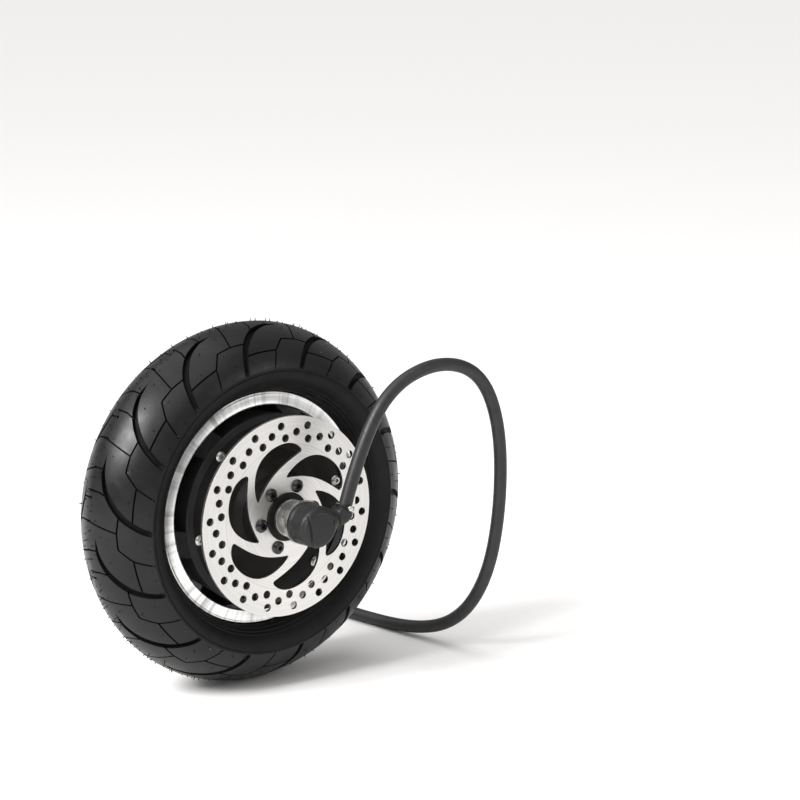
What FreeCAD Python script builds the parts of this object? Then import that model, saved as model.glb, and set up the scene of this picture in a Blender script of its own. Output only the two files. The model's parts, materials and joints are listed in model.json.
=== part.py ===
"""Rear hub motor wheel of a stand-up scooter, in millimetres.

The wheel turns about +Y through the origin, which is the centre of the tyre. +Z is up and +X is the
travel direction. The brake disc and the motor cable are on the -Y side. The axle stands still with the
stator, and the rim, covers, magnets, tyre and brake disc turn round it on two ball bearings.
"""

import FreeCAD
import Part

import math
import os

V = FreeCAD.Vector
CENTRE = V(0, 0, 0)
SPIN = V(0, 1, 0)

# Tyre: the tread is half of a superellipse across the width
TYRE_R = 127.2
TYRE_HALF_WIDTH = 39.0
TYRE_SIDE_R = 95.2
TYRE_POWER = 1.65
TYRE_WALL = 8.5

# Rim barrel, for a 6 inch bead seat
SEAT_R = 76.2
FLANGE_R = 81.65
BARREL_IN_R = 72.1
RIM_FACE_Y = 21.3
FLANGE_THICK = 2.4
BEAD_SEAT_Y = RIM_FACE_Y - FLANGE_THICK
WELL_R = 74.8

# Motor shell inside the barrel, joined to it by six spokes
SHELL_FACE_Y = -30.5
SHELL_FACE_R = 68.0
SHELL_FAR_Y = 25.0
SHELL_BORE_R = 54.5
RECESS_R = 62.8
RECESS_Y = -26.5
SPOKES = 6
SPOKE_HALF_ANGLE = 8.0
SPOKE_ANGLE = 131.9
SPOKE_FAR_Y = 11.0
SLOT_CORNER_R = 1.6

# Rotor iron and magnets
IRON_OUT_R = 60.0
IRON_IN_R = 56.0
IRON_HALF = 19.0
MAGNETS = 30
MAGNET_IN_R = 53.2
MAGNET_HALF = 17.5
MAGNET_ANGLE = 10.8

# Covers
COVER_OUT_R = 62.6
COVER_FACE_Y = -29.3
GASKET_THICK = 0.5
FAR_COVER_R = 60.6
FAR_COVER_Y = 28.0
BOSS_R = 27.0
DISC_SEAT_Y = -50.0
SPIGOT_R = 17.0
NOSE_Y = -53.0
COVER_SCREW_PCR = 58.7
FAR_SCREW_PCR = 57.4
COVER_SCREW_HEAD_R = 3.8
COVER_SCREW_R = 2.0

# Brake disc
DISC_R = 70.0
DISC_THICK = 2.0
DISC_BOLT_PCR = 22.0
DISC_BOLT_ANGLE = 188.0
DISC_BOLT_R = 2.5
DISC_HOLE_R = 2.8
DISC_HOLES = [(63.9, 14.1), (58.9, 2.0), (55.1, 11.1)]
DISC_HOLE_REPEATS = 18
WINDOWS = 6
WINDOW_ANGLE = 194.7

# 6203 ball bearings, 17 x 40 x 12
BEARING_MID_Y = 34.0
BEARING_HALF = 6.0
BEARING_OUT_R = 20.0
BEARING_IN_R = 8.5
PITCH_R = 14.25
BALL_R = 3.37
BALLS = 8
GROOVE_R = 3.45
INNER_SHOULDER_R = 12.0
OUTER_SHOULDER_R = 16.6

# Oil seals, and the spacers that they run on
SEAL_OUT_R = 14.0
SPACER_R = 10.5
SPACER_FLANGE_R = 13.0
RUNNING_GAP = 0.08

# Stator
TEETH = 27
STATOR_R = 52.5
STACK_HALF = 17.5
YOKE_OUT_R = 38.0
YOKE_IN_R = 31.0
TOOTH_WIDTH = 4.6
SHOE_WIDTH = 10.2
SHOE_THICK = 1.8
COIL_IN_R = 39.6
COIL_OUT_R = 49.4
COIL_END_Y = 22.0

# Axle: M16 ends with flats and low, narrow nuts, and a bore for the leads from the disc side
AXLE_MID_R = 11.0
AXLE_MID_HALF = 28.0
THREAD_R = 8.0
FLAT_HALF = 6.0
CLAMP_Y = 57.0
DROPOUT_END_Y = 70.0
AXLE_END_Y = 87.0
LEAD_BORE_R = 4.2
LEAD_HOLE_Y = -22.0
RELIEF_R = 5.6
RELIEF_WIDTH = 0.5
WASHER_R = 15.4
WASHER_THICK = 2.4
NUT_ACROSS = 22.0
NUT_THICK = 7.8

# Rubber boot on the cable end of the axle, and its spout
BOOT_R = 14.5
BOOT_IN_R = 13.1
BOOT_END_Y = -91.0
BOOT_START_Y = -72.4
SPOUT_Y = -84.5
SPOUT_ANGLE = 12.0
SPOUT_R = 6.4
SPOUT_END_R = 17.5
LEADS_R = 3.8

# Moulded elbow that turns the cable up, with its clip
ELBOW_R = 5.8
ELBOW_BEND_R = 7.0
ELBOW_EXIT_ANGLE = 72.0
ELBOW_CORNER_R = 23.5
ELBOW_TAIL = 6.5

# Motor cable: it rises from the elbow, arches over, comes down to the ground and goes behind the wheel
CABLE_R = 4.65
GROUND_Z = -TYRE_R
LYING_Z = GROUND_Z + CABLE_R + 0.05
COIL_CENTRE = V(88, 136, 0)
COIL_TURN_R = 50.0
COIL_BASE_Z = GROUND_Z + 0.9
TIE_ANGLE = 100.0
PLUG_R = 8.0
PLUG_START_Y = 88.0
CABLE_ROUTE = [
    (37.4, -85, 49.1),
    (62, -86, 88),
    (104, -86, 101),
    (143, -84, 88),
    (163, -82, 48),
    (167, -79, -12),
    (163, -70, -68),
    (157, -44, -106),
    (152, 2, LYING_Z),
    (140, 70, LYING_Z),
]

# Tyre valve, bent so that it can be reached from the far side
VALVE_ANGLE = 270.0
VALVE_Y = 0.0
VALVE_R = 67.8
VALVE_STEM_R = 2.7
VALVE_CAP_R = 4.0
VALVE_HOLE_R = 4.1


def polar(radius, degrees, y=0.0):
    """A point at a radius and angle round the wheel axis."""
    turn = math.radians(degrees)
    return V(radius * math.cos(turn), y, radius * math.sin(turn))


def line(start, end):
    return Part.LineSegment(start, end).toShape()


def arc(start, middle, end):
    return Part.Arc(start, middle, end).toShape()


def turned(corners, degrees=360.0, start=0.0):
    """Solid of revolution about the wheel axis from (radius, y) corners."""
    points = [V(radius, y, 0) for radius, y in corners]
    face = Part.Face(Part.makePolygon(points + points[:1]))
    solid = face.revolve(CENTRE, SPIN, degrees)
    return turn(solid, start)


def ring(inner, outer, y_from, y_to):
    return turned([(inner, y_from), (outer, y_from), (outer, y_to), (inner, y_to)])


def rod(radius, y_from, y_to, at=CENTRE):
    """Cylinder along the wheel axis between two y values."""
    low, high = min(y_from, y_to), max(y_from, y_to)
    return Part.makeCylinder(radius, high - low, V(at.x, low, at.z), SPIN)


def turn(shape, degrees):
    """A copy turned about the wheel axis, counted like polar()."""
    copy = shape.copy()
    copy.rotate(CENTRE, SPIN, -degrees)
    return copy


def around(shape, count, start=0.0):
    """Copies of a shape spread evenly about the wheel axis."""
    return [turn(shape, start + 360.0 * i / count) for i in range(count)]


def mirrored(shape):
    """The same shape on the other side of the wheel."""
    return shape.mirror(CENTRE, SPIN)


def slab(size, middle):
    """Box of a size about its middle."""
    corner = V(middle[0] - size[0] / 2, middle[1] - size[1] / 2, middle[2] - size[2] / 2)
    return Part.makeBox(size[0], size[1], size[2], corner)


def extruded(edges, y_from, y_to):
    """Solid between two y values from a closed loop of edges drawn at y_from."""
    return Part.Face(Part.Wire(edges)).extrude(V(0, y_to - y_from, 0))


def swept(edges, radius, start, direction):
    """Round tube along a chain of tangent edges."""
    section = Part.Wire(Part.makeCircle(radius, start, direction))
    return Part.Wire(edges).makePipeShell([section], True, False)


def rounded_path(points):
    """Straight runs with tangent arcs at their corners, and the radius of each arc."""
    edges, radii, here = [], [], points[0]
    for before, corner, after in zip(points, points[1:], points[2:]):
        back, ahead = (before - corner), (after - corner)
        short = min(back.Length, ahead.Length)
        half_turn = (math.pi - back.getAngle(ahead)) / 2
        cut = 0.45 * short
        radii.append(cut / math.tan(half_turn))
        first = corner + back.normalize() * cut
        last = corner + ahead.normalize() * cut
        to_middle = (back + ahead).normalize()
        depth = radii[-1] / math.cos(half_turn) - radii[-1]
        edges += [line(here, first), arc(first, corner + to_middle * depth, last)]
        here = last
    return edges + [line(here, points[-1])], radii


# ---------------------------------------------------------------- turning parts


def tread_curve(outer_r, half_width, side_r, steps=8):
    """Superellipse across the tyre, from the -Y side over the crown to the +Y side."""
    points = []
    for i in range(-steps, steps + 1):
        lean = math.radians(90.0 * i / steps)
        across = math.copysign(abs(math.sin(lean)) ** (2 / TYRE_POWER), lean)
        up = math.cos(lean) ** (2 / TYRE_POWER) if abs(i) < steps else 0.0
        points.append(V(side_r + (outer_r - side_r) * up, half_width * across, 0))
    curve = Part.BSplineCurve()
    curve.interpolate(points)
    return curve.toShape()


def tyre():
    """Tubeless tyre with its air space and two beads."""
    wall_half = TYRE_HALF_WIDTH - 6.0
    edges = [
        tread_curve(TYRE_R, TYRE_HALF_WIDTH, TYRE_SIDE_R),
        tread_curve(TYRE_R - TYRE_WALL, wall_half, TYRE_SIDE_R),
    ]
    for side in (-1, 1):
        shoulder = V(TYRE_SIDE_R, side * TYRE_HALF_WIDTH, 0)
        foot = V(FLANGE_R + 0.7, side * (RIM_FACE_Y + 1.7), 0)
        heel = V(FLANGE_R + 0.3, side * BEAD_SEAT_Y, 0)
        base = V(SEAT_R, side * BEAD_SEAT_Y, 0)
        toe = V(SEAT_R, side * (BEAD_SEAT_Y - 9), 0)
        lip = V(SEAT_R + 3.5, side * (BEAD_SEAT_Y - 9), 0)
        inside = V(TYRE_SIDE_R, side * wall_half, 0)
        edges += [
            arc(shoulder, V(87.6, side * 34.6, 0), foot),
            line(foot, heel),
            line(heel, base),
            line(base, toe),
            line(toe, lip),
            arc(lip, V(85.5, side * 24.5, 0), inside),
        ]
    section = Part.Face(Part.Wire(Part.__sortEdges__(edges)))
    return section.revolve(CENTRE, SPIN, 360)


def rim_shell():
    """Cast rim barrel, six spokes and the ring-shaped motor shell in one piece."""
    half = [(BARREL_IN_R, RIM_FACE_Y), (FLANGE_R - 1.0, RIM_FACE_Y), (FLANGE_R, RIM_FACE_Y - 0.7)]
    half += [(FLANGE_R, BEAD_SEAT_Y), (SEAT_R, BEAD_SEAT_Y), (SEAT_R, 9.0), (WELL_R, 7.0)]
    barrel = turned(half + [(radius, -y) for radius, y in reversed(half)])
    shell = turned(
        [
            (RECESS_R, SHELL_FACE_Y),
            (SHELL_FACE_R - 0.6, SHELL_FACE_Y),
            (SHELL_FACE_R, SHELL_FACE_Y + 0.8),
            (65.6, -5.0),
            (64.5, 8.0),
            (62.9, 19.0),
            (61.6, SHELL_FAR_Y),
            (SHELL_BORE_R, SHELL_FAR_Y),
            (SHELL_BORE_R, IRON_HALF),
            (IRON_OUT_R, IRON_HALF),
            (IRON_OUT_R, -IRON_HALF),
            (SHELL_BORE_R, -IRON_HALF),
            (SHELL_BORE_R, RECESS_Y),
            (RECESS_R, RECESS_Y),
        ]
    )
    spoke = turned(
        [
            (62.6, SHELL_FACE_Y + 4),
            (64.0, SHELL_FACE_Y),
            (SHELL_FACE_R + 0.4, SHELL_FACE_Y + 0.2),
            (BARREL_IN_R + 0.3, -RIM_FACE_Y + 0.5),
            (BARREL_IN_R + 1.0, -RIM_FACE_Y + 0.5),
            (BARREL_IN_R + 1.0, SPOKE_FAR_Y),
            (62.6, SPOKE_FAR_Y),
        ],
        2 * SPOKE_HALF_ANGLE,
        SPOKE_HALF_ANGLE,
    )
    casting = barrel.multiFuse([shell] + around(spoke, SPOKES, SPOKE_ANGLE)).removeSplitter()
    casting = casting.makeFillet(SLOT_CORNER_R, slot_corners(casting))
    holes = [rod(COVER_SCREW_R, RECESS_Y - 1, -IRON_HALF - 1, polar(COVER_SCREW_PCR, SPOKE_ANGLE))]
    holes.append(rod(COVER_SCREW_R, IRON_HALF + 1, SHELL_FAR_Y + 1, polar(FAR_SCREW_PCR, SPOKE_ANGLE)))
    cutters = [copy for hole in holes for copy in around(hole, SPOKES)]
    cutters.append(Part.makeCylinder(VALVE_HOLE_R, 8, polar(70, VALVE_ANGLE, VALVE_Y), polar(1, VALVE_ANGLE)))
    return casting.cut(Part.makeCompound(cutters))


def slot_corners(casting):
    """The edges where the sides of the spokes meet the barrel."""
    found = []
    for edge in casting.Edges:
        ends = [vertex.Point for vertex in edge.Vertexes]
        if len(ends) != 2 or abs(ends[0].y - ends[1].y) < 20:
            continue
        radii = [math.hypot(end.x, end.z) for end in ends]
        if max(abs(radius - BARREL_IN_R) for radius in radii) < 0.05:
            found.append(edge)
    return found


def back_iron_ring():
    return ring(IRON_IN_R, IRON_OUT_R, -IRON_HALF, IRON_HALF)


def rotor_magnets():
    """Magnets glued round the inside of the iron ring."""
    corners = [(MAGNET_IN_R, -MAGNET_HALF), (IRON_IN_R, -MAGNET_HALF)]
    corners += [(IRON_IN_R, MAGNET_HALF), (MAGNET_IN_R, MAGNET_HALF)]
    return around(turned(corners, MAGNET_ANGLE, MAGNET_ANGLE / 2), MAGNETS)


def disc_side_cover():
    """Cover with the bearing seat, the seal pocket and the seat for the brake disc."""
    solid = turned(
        [
            (COVER_OUT_R, RECESS_Y - GASKET_THICK),
            (COVER_OUT_R, COVER_FACE_Y + 0.4),
            (COVER_OUT_R - 0.4, COVER_FACE_Y),
            (44.0, COVER_FACE_Y),
            (32.0, -32.5),
            (BOSS_R + 0.8, -38.0),
            (BOSS_R, DISC_SEAT_Y + 0.5),
            (BOSS_R - 0.5, DISC_SEAT_Y),
            (SPIGOT_R, DISC_SEAT_Y),
            (SPIGOT_R, NOSE_Y + 0.6),
            (SPIGOT_R - 0.6, NOSE_Y),
            (SEAL_OUT_R, NOSE_Y),
            (SEAL_OUT_R, -46.0),
            (12.9, -46.0),
            (12.9, -43.0),
            (16.5, -43.0),
            (16.5, -BEARING_MID_Y - BEARING_HALF),
            (BEARING_OUT_R, -BEARING_MID_Y - BEARING_HALF),
            (BEARING_OUT_R, -27.5),
            (26.0, -27.5),
            (27.0, RECESS_Y),
            (51.0, RECESS_Y),
            (51.0, -24.0),
            (SHELL_BORE_R - 0.1, -24.0),
            (SHELL_BORE_R - 0.1, RECESS_Y - GASKET_THICK),
        ]
    )
    clear = rod(COVER_SCREW_R + 0.2, COVER_FACE_Y - 1, RECESS_Y + 1, polar(COVER_SCREW_PCR, SPOKE_ANGLE))
    tapped = rod(DISC_BOLT_R, DISC_SEAT_Y - 1, DISC_SEAT_Y + 8.6, polar(DISC_BOLT_PCR, DISC_BOLT_ANGLE))
    return solid.cut(Part.makeCompound(around(clear, SPOKES) + around(tapped, SPOKES)))


def far_side_cover():
    """Cover with the other bearing seat and seal pocket."""
    solid = turned(
        [
            (FAR_COVER_R, SHELL_FAR_Y + GASKET_THICK),
            (FAR_COVER_R, FAR_COVER_Y - 0.4),
            (FAR_COVER_R - 0.4, FAR_COVER_Y),
            (44.0, FAR_COVER_Y),
            (31.0, 32.0),
            (26.0, 37.0),
            (25.0, 46.4),
            (24.0, 47.0),
            (SEAL_OUT_R, 47.0),
            (SEAL_OUT_R, 41.6),
            (16.5, 41.6),
            (16.5, BEARING_MID_Y + BEARING_HALF),
            (BEARING_OUT_R, BEARING_MID_Y + BEARING_HALF),
            (BEARING_OUT_R, 27.5),
            (26.0, 27.5),
            (27.5, 25.2),
            (51.0, 25.2),
            (51.0, 22.8),
            (SHELL_BORE_R - 0.1, 22.8),
            (SHELL_BORE_R - 0.1, SHELL_FAR_Y + GASKET_THICK),
        ]
    )
    clear = rod(COVER_SCREW_R + 0.2, SHELL_FAR_Y - 1, FAR_COVER_Y + 1, polar(FAR_SCREW_PCR, SPOKE_ANGLE))
    return solid.cut(Part.makeCompound(around(clear, SPOKES)))


def button_screw(head_r, head_height, shank_r, shank, socket_across):
    """Button head screw along +Y: the head's underside is at y = 0 and its dome points to -Y."""
    head = turned([(0, 0), (head_r, 0), (head_r, -0.35 * head_height), (0.62 * head_r, -head_height),
                   (0, -head_height)])
    body = head.fuse(rod(shank_r, 0, shank))
    socket = hexagon(socket_across, -head_height - 1, -0.35 * head_height)
    return body.cut(socket).removeSplitter()


def hexagon(across, y_from, y_to):
    corners = [polar(across / math.sqrt(3), 60 * i, y_from) for i in range(6)]
    face = Part.Face(Part.makePolygon(corners + corners[:1]))
    return face.extrude(V(0, y_to - y_from, 0))


def placed(shape, at):
    copy = shape.copy()
    copy.translate(at)
    return copy


def disc_side_cover_screws():
    screw = button_screw(COVER_SCREW_HEAD_R, 2.2, COVER_SCREW_R - 0.05, 9, 2.5)
    return around(placed(screw, polar(COVER_SCREW_PCR, SPOKE_ANGLE, COVER_FACE_Y)), SPOKES)


def far_side_cover_screws():
    screw = mirrored(button_screw(2.8, 1.9, COVER_SCREW_R - 0.05, 7.5, 2.5))
    return around(placed(screw, polar(FAR_SCREW_PCR, SPOKE_ANGLE, FAR_COVER_Y)), SPOKES)


def brake_disc():
    """Flat stainless disc with six swirl windows and three rings of small holes."""
    face_y = DISC_SEAT_Y - DISC_THICK
    plate = ring(SPIGOT_R + 0.05, DISC_R, face_y, DISC_SEAT_Y)
    small = [rod(DISC_HOLE_R, face_y - 1, DISC_SEAT_Y + 1, polar(*at)) for at in DISC_HOLES]
    cutters = [copy for hole in small for copy in around(hole, DISC_HOLE_REPEATS)]
    bolt_hole = rod(DISC_BOLT_R + 0.15, face_y - 1, DISC_SEAT_Y + 1, polar(DISC_BOLT_PCR, DISC_BOLT_ANGLE))
    cutters += around(bolt_hole, SPOKES)
    cutters += around(window(face_y - 1, DISC_SEAT_Y + 1), WINDOWS, WINDOW_ANGLE)
    return plate.cut(Part.makeCompound(cutters))


def window(y_from, y_to):
    """Leaf-shaped window that starts at angle 0 near the track and curls in to a point near the bolts."""
    outer = [(47.9, 1.0), (50.2, 6), (50.3, 30), (45.5, 46.7), (36.9, 62.2), (29.0, 75.4)]
    inner = [(27.4, 73.2), (28.2, 60.0), (32.6, 33.8), (40.6, 9.0), (44.6, 1.4)]
    sides = []
    for points in (outer, inner):
        curve = Part.BSplineCurve()
        curve.interpolate([polar(*point, y_from) for point in points])
        sides.append(curve.toShape())
    tip = arc(polar(*outer[-1], y_from), polar(27.5, 75.2, y_from), polar(*inner[0], y_from))
    heel = arc(polar(*inner[-1], y_from), polar(46.2, 0.0, y_from), polar(*outer[0], y_from))
    return extruded([sides[0], tip, sides[1], heel], y_from, y_to)


def brake_disc_bolts():
    bolt = button_screw(4.6, 2.8, DISC_BOLT_R - 0.05, 10, 3.0)
    at = polar(DISC_BOLT_PCR, DISC_BOLT_ANGLE, DISC_SEAT_Y - DISC_THICK)
    return around(placed(bolt, at), SPOKES)


def cover_gasket(outer, y_from, screw_pcr):
    """Flat gasket between a cover's flange and the shell, with holes for the cover screws."""
    sheet = ring(SHELL_BORE_R, outer, y_from, y_from + GASKET_THICK)
    hole = rod(COVER_SCREW_R + 0.2, y_from - 1, y_from + 1, polar(screw_pcr, SPOKE_ANGLE))
    return sheet.cut(Part.makeCompound(around(hole, SPOKES)))


def valve_stem():
    """Metal valve that passes through the barrel and bends to the far side."""
    outer = polar(SEAT_R + 2.2, VALVE_ANGLE, VALVE_Y)
    corner = polar(VALVE_R, VALVE_ANGLE, VALVE_Y)
    end = polar(VALVE_R, VALVE_ANGLE, 31.0)
    edges, _ = rounded_path([outer, corner, end])
    stem = swept(edges, VALVE_STEM_R, outer, polar(-1, VALVE_ANGLE))
    return stem


def valve_grommet():
    """Rubber seal round the stem in the hole of the barrel."""
    at = polar(BARREL_IN_R - 1.4, VALVE_ANGLE, VALVE_Y)
    outwards = polar(1, VALVE_ANGLE)
    body = Part.makeCylinder(VALVE_HOLE_R, 5.9, at, outwards)
    flange = Part.makeCylinder(6.2, 1.6, polar(WELL_R + 0.3, VALVE_ANGLE, VALVE_Y), outwards)
    hole = Part.makeCylinder(VALVE_STEM_R + 0.02, 20, polar(65, VALVE_ANGLE, VALVE_Y), outwards)
    return body.fuse(flange).cut(hole).removeSplitter()


def valve_cap():
    at = polar(VALVE_R, VALVE_ANGLE)
    cap = rod(VALVE_CAP_R, 22.4, 33.4, at)
    return cap.cut(rod(VALVE_STEM_R + 0.05, 22, 31.4, at))


# ---------------------------------------------------------------- bearings


def race_groove():
    return Part.makeTorus(PITCH_R, GROOVE_R, CENTRE, SPIN)


def outer_race():
    return ring(OUTER_SHOULDER_R, BEARING_OUT_R, -BEARING_HALF, BEARING_HALF).cut(race_groove())


def inner_race():
    return ring(BEARING_IN_R, INNER_SHOULDER_R, -BEARING_HALF, BEARING_HALF).cut(race_groove())


def bearing_balls():
    return around(Part.makeSphere(BALL_R, polar(PITCH_R, 0)), BALLS)


def bearing_cage():
    pockets = around(Part.makeCylinder(BALL_R + 0.1, 4, V(PITCH_R - 2, 0, 0), V(1, 0, 0)), BALLS)
    return ring(PITCH_R - 0.6, PITCH_R + 0.6, -4.4, 4.4).cut(Part.makeCompound(pockets))


def bearing_shields():
    shield = ring(INNER_SHOULDER_R + 0.15, OUTER_SHOULDER_R, 5.0, 5.8)
    return [shield, mirrored(shield)]


def oil_seal(y_from, y_to):
    return ring(SPACER_R + RUNNING_GAP, SEAL_OUT_R, y_from, y_to)


# ---------------------------------------------------------------- standing parts


def tooth_outline(y):
    """Edges round the stack of laminations: a yoke with teeth that widen to shoes at the air gap."""
    pitch = 360.0 / TEETH
    root = math.degrees(math.asin(TOOTH_WIDTH / 2 / YOKE_OUT_R))
    neck_r = STATOR_R - SHOE_THICK
    neck = math.degrees(math.asin(TOOTH_WIDTH / 2 / neck_r))
    shoe = math.degrees(SHOE_WIDTH / 2 / STATOR_R)
    edges = []
    for i in range(TEETH):
        mid = i * pitch
        corners = [polar(YOKE_OUT_R, mid - root, y), polar(neck_r, mid - neck, y)]
        corners += [polar(neck_r + 0.6, mid - shoe, y), polar(STATOR_R, mid - shoe, y)]
        opposite = [polar(STATOR_R, mid + shoe, y), polar(neck_r + 0.6, mid + shoe, y)]
        opposite += [polar(neck_r, mid + neck, y), polar(YOKE_OUT_R, mid + root, y)]
        edges += [line(*pair) for pair in zip(corners, corners[1:])]
        edges.append(arc(corners[-1], polar(STATOR_R, mid, y), opposite[0]))
        edges += [line(*pair) for pair in zip(opposite, opposite[1:])]
        after = polar(YOKE_OUT_R, mid + pitch - root, y)
        edges.append(arc(opposite[-1], polar(YOKE_OUT_R, mid + pitch / 2, y), after))
    return edges


def stator_plate(y_from, y_to):
    return extruded(tooth_outline(y_from), y_from, y_to).cut(rod(YOKE_IN_R, y_from - 1, y_to + 1))


def stator_laminations():
    return stator_plate(-STACK_HALF, STACK_HALF)


def stator_end_insulators():
    return [stator_plate(-STACK_HALF - 1, -STACK_HALF), stator_plate(STACK_HALF, STACK_HALF + 1)]


def phase_windings():
    """One coil round each tooth, wedge-shaped to fill the slots."""
    corners = [V(COIL_IN_R, -COIL_END_Y, -4.3), V(COIL_OUT_R, -COIL_END_Y, -5.3)]
    corners += [V(COIL_OUT_R, -COIL_END_Y, 5.3), V(COIL_IN_R, -COIL_END_Y, 4.3)]
    block = Part.Face(Part.makePolygon(corners + corners[:1])).extrude(V(0, 2 * COIL_END_Y, 0))
    core = slab((20, 2 * (STACK_HALF + 1.1), TOOTH_WIDTH + 0.4), (45, 0, 0))
    return around(block.cut(core), TEETH)


def carrier_key():
    return slab((3.4, 24, 4), (11.1, 0, 0))


def stator_carrier():
    """Aluminium spider that holds the laminations on the axle."""
    body = turned(
        [
            (AXLE_MID_R, -14),
            (15.5, -14),
            (15.5, -4),
            (27, -4),
            (27, -17),
            (YOKE_IN_R, -17),
            (YOKE_IN_R, 17),
            (27, 17),
            (27, 4),
            (15.5, 4),
            (15.5, 14),
            (AXLE_MID_R, 14),
        ]
    )
    windows = around(rod(4.2, -6, 6, polar(21.3, 0)), 6, 30)
    return body.cut(Part.makeCompound(windows + [carrier_key()]))


def carrier_circlips():
    clip = ring(10.4, 13.0, 14.1, 15.3).cut(slab((8, 4, 5), (12, 14.7, 0)))
    return [clip, mirrored(clip)]


def axle():
    """Stepped axle with flats on both threaded ends and a bore for the leads."""
    half = [(0, 0), (AXLE_MID_R, 0), (AXLE_MID_R, 14.0), (10.3, 14.0), (10.3, 15.4), (AXLE_MID_R, 15.4)]
    half += [(AXLE_MID_R, AXLE_MID_HALF), (BEARING_IN_R, AXLE_MID_HALF), (BEARING_IN_R, CLAMP_Y)]
    half += [(THREAD_R, CLAMP_Y), (THREAD_R, DROPOUT_END_Y), (RELIEF_R, DROPOUT_END_Y)]
    half += [(RELIEF_R, DROPOUT_END_Y + RELIEF_WIDTH), (THREAD_R, DROPOUT_END_Y + RELIEF_WIDTH)]
    half += [(THREAD_R, AXLE_END_Y - 1), (THREAD_R - 1, AXLE_END_Y), (0, AXLE_END_Y)]
    far_half = turned(half)
    body = far_half.fuse(mirrored(far_half)).removeSplitter()
    length = AXLE_END_Y - CLAMP_Y
    cutters = [rod(LEAD_BORE_R, -AXLE_END_Y - 1, LEAD_HOLE_Y + 3), carrier_key()]
    for y in (-CLAMP_Y - length / 2 - 1, CLAMP_Y + length / 2 + 1):
        for z in (-FLAT_HALF - 5, FLAT_HALF + 5):
            cutters.append(slab((30, length + 2, 10), (0, y, z)))
    cutters.append(Part.makeCylinder(3.6, 14, V(0, LEAD_HOLE_Y, 0), V(1, 0, 0)))
    notch = slab((12, 8, 2 * LEAD_BORE_R), (6, SPOUT_Y + LEADS_R + 0.3 - 4, 0))
    cutters.append(turn(notch, SPOUT_ANGLE))
    return body.cut(Part.makeCompound(cutters))


def hall_sensor_board():
    """Arc-shaped board on the end of the stator, opposite the leads."""
    return turned([(32, -20), (37.6, -20), (37.6, -18.5), (32, -18.5)], 110, 235)


def hall_sensors():
    return [turn(slab((3, 1.5, 4), (35, -20.75, 0)), spot) for spot in (150, 180, 210)]


def motor_leads():
    """Bundle of phase and sensor leads from the stator through the axle to the spout."""
    spout = polar(1, SPOUT_ANGLE)
    turn_r = 4.6
    corner = V(0, SPOUT_Y, 0)
    first = corner + V(0, turn_r, 0)
    last = corner + spout * turn_r
    middle = corner + (V(0, 1, 0) + spout) * turn_r * (1 - math.sqrt(0.5))
    start = V(0, LEAD_HOLE_Y + 1.5, 0)
    edges = [line(start, first), arc(first, middle, last), line(last, spout * SPOUT_END_R + corner)]
    bundle = swept(edges, LEADS_R, start, V(0, -1, 0))
    branch = Part.makeCylinder(3.2, COIL_IN_R, V(0, LEAD_HOLE_Y, 0), V(1, 0, 0))
    return bundle.fuse(branch).removeSplitter()


def spacer(side):
    """Sleeve from the bearing out to the clamping face of the dropout."""
    near = BEARING_MID_Y + BEARING_HALF
    corners = [(BEARING_IN_R, near), (SPACER_R, near), (SPACER_R, CLAMP_Y - 2.4)]
    corners += [(SPACER_FLANGE_R, CLAMP_Y - 2.4), (SPACER_FLANGE_R, CLAMP_Y), (BEARING_IN_R, CLAMP_Y)]
    return turned([(radius, side * y) for radius, y in corners])


def flatted_hole(y_from, y_to):
    """The axle's threaded section with flats, a little larger."""
    hole = rod(THREAD_R + 0.1, y_from, y_to)
    return hole.common(slab((30, y_to - y_from, 2 * FLAT_HALF + 0.2), (0, (y_from + y_to) / 2, 0)))


def torque_washer():
    """Thick washer with a flatted hole and a tab that enters the dropout's slot."""
    plate = rod(WASHER_R, DROPOUT_END_Y, DROPOUT_END_Y + WASHER_THICK)
    tab = slab((3.2, 4.4, 9.6), (-11.0, DROPOUT_END_Y - 2.0, 0))
    hole = flatted_hole(DROPOUT_END_Y - 1, DROPOUT_END_Y + WASHER_THICK + 1)
    return plate.fuse(tab).cut(hole).removeSplitter()


def axle_nut():
    """Thin hexagon nut with chamfered corners."""
    low = DROPOUT_END_Y + WASHER_THICK
    high = low + NUT_THICK
    corner = NUT_ACROSS / math.sqrt(3)
    cone = turned([(0, low), (corner, low), (corner, high - 1.0), (corner - 1.7, high), (0, high)])
    return hexagon(NUT_ACROSS, low, high).common(cone).cut(rod(THREAD_R + 0.02, low - 1, high + 1))


def axle_boot():
    """Rubber boot over the nut and the axle end, with the spout for the leads."""
    outer = turned(
        [
            (0, BOOT_START_Y),
            (BOOT_R, BOOT_START_Y),
            (BOOT_R, BOOT_END_Y + 3.6),
            (BOOT_R - 1.3, BOOT_END_Y + 1.2),
            (BOOT_R - 4.2, BOOT_END_Y),
            (0, BOOT_END_Y),
        ]
    )
    at = V(0, SPOUT_Y, 0)
    along = polar(1, SPOUT_ANGLE)
    spout = Part.makeCylinder(SPOUT_R, SPOUT_END_R, at, along)
    inside = rod(BOOT_IN_R, BOOT_START_Y + 1, BOOT_END_Y + 2.6)
    lead_hole = Part.makeCylinder(LEADS_R + 0.1, SPOUT_END_R + 1, at, along)
    return outer.fuse(spout).cut(inside).cut(lead_hole).removeSplitter()


def far_side_nut_cap():
    """Plain rubber cap over the other nut and axle end."""
    low, high = -BOOT_START_Y, -BOOT_END_Y
    outline = [(0, low), (BOOT_R, low), (BOOT_R, high - 4), (BOOT_R - 1.6, high - 1), (BOOT_R - 5, high)]
    return turned(outline + [(0, high)]).cut(rod(BOOT_IN_R, low - 1, high - 2.6))


# ---------------------------------------------------------------- cable and plug


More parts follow.
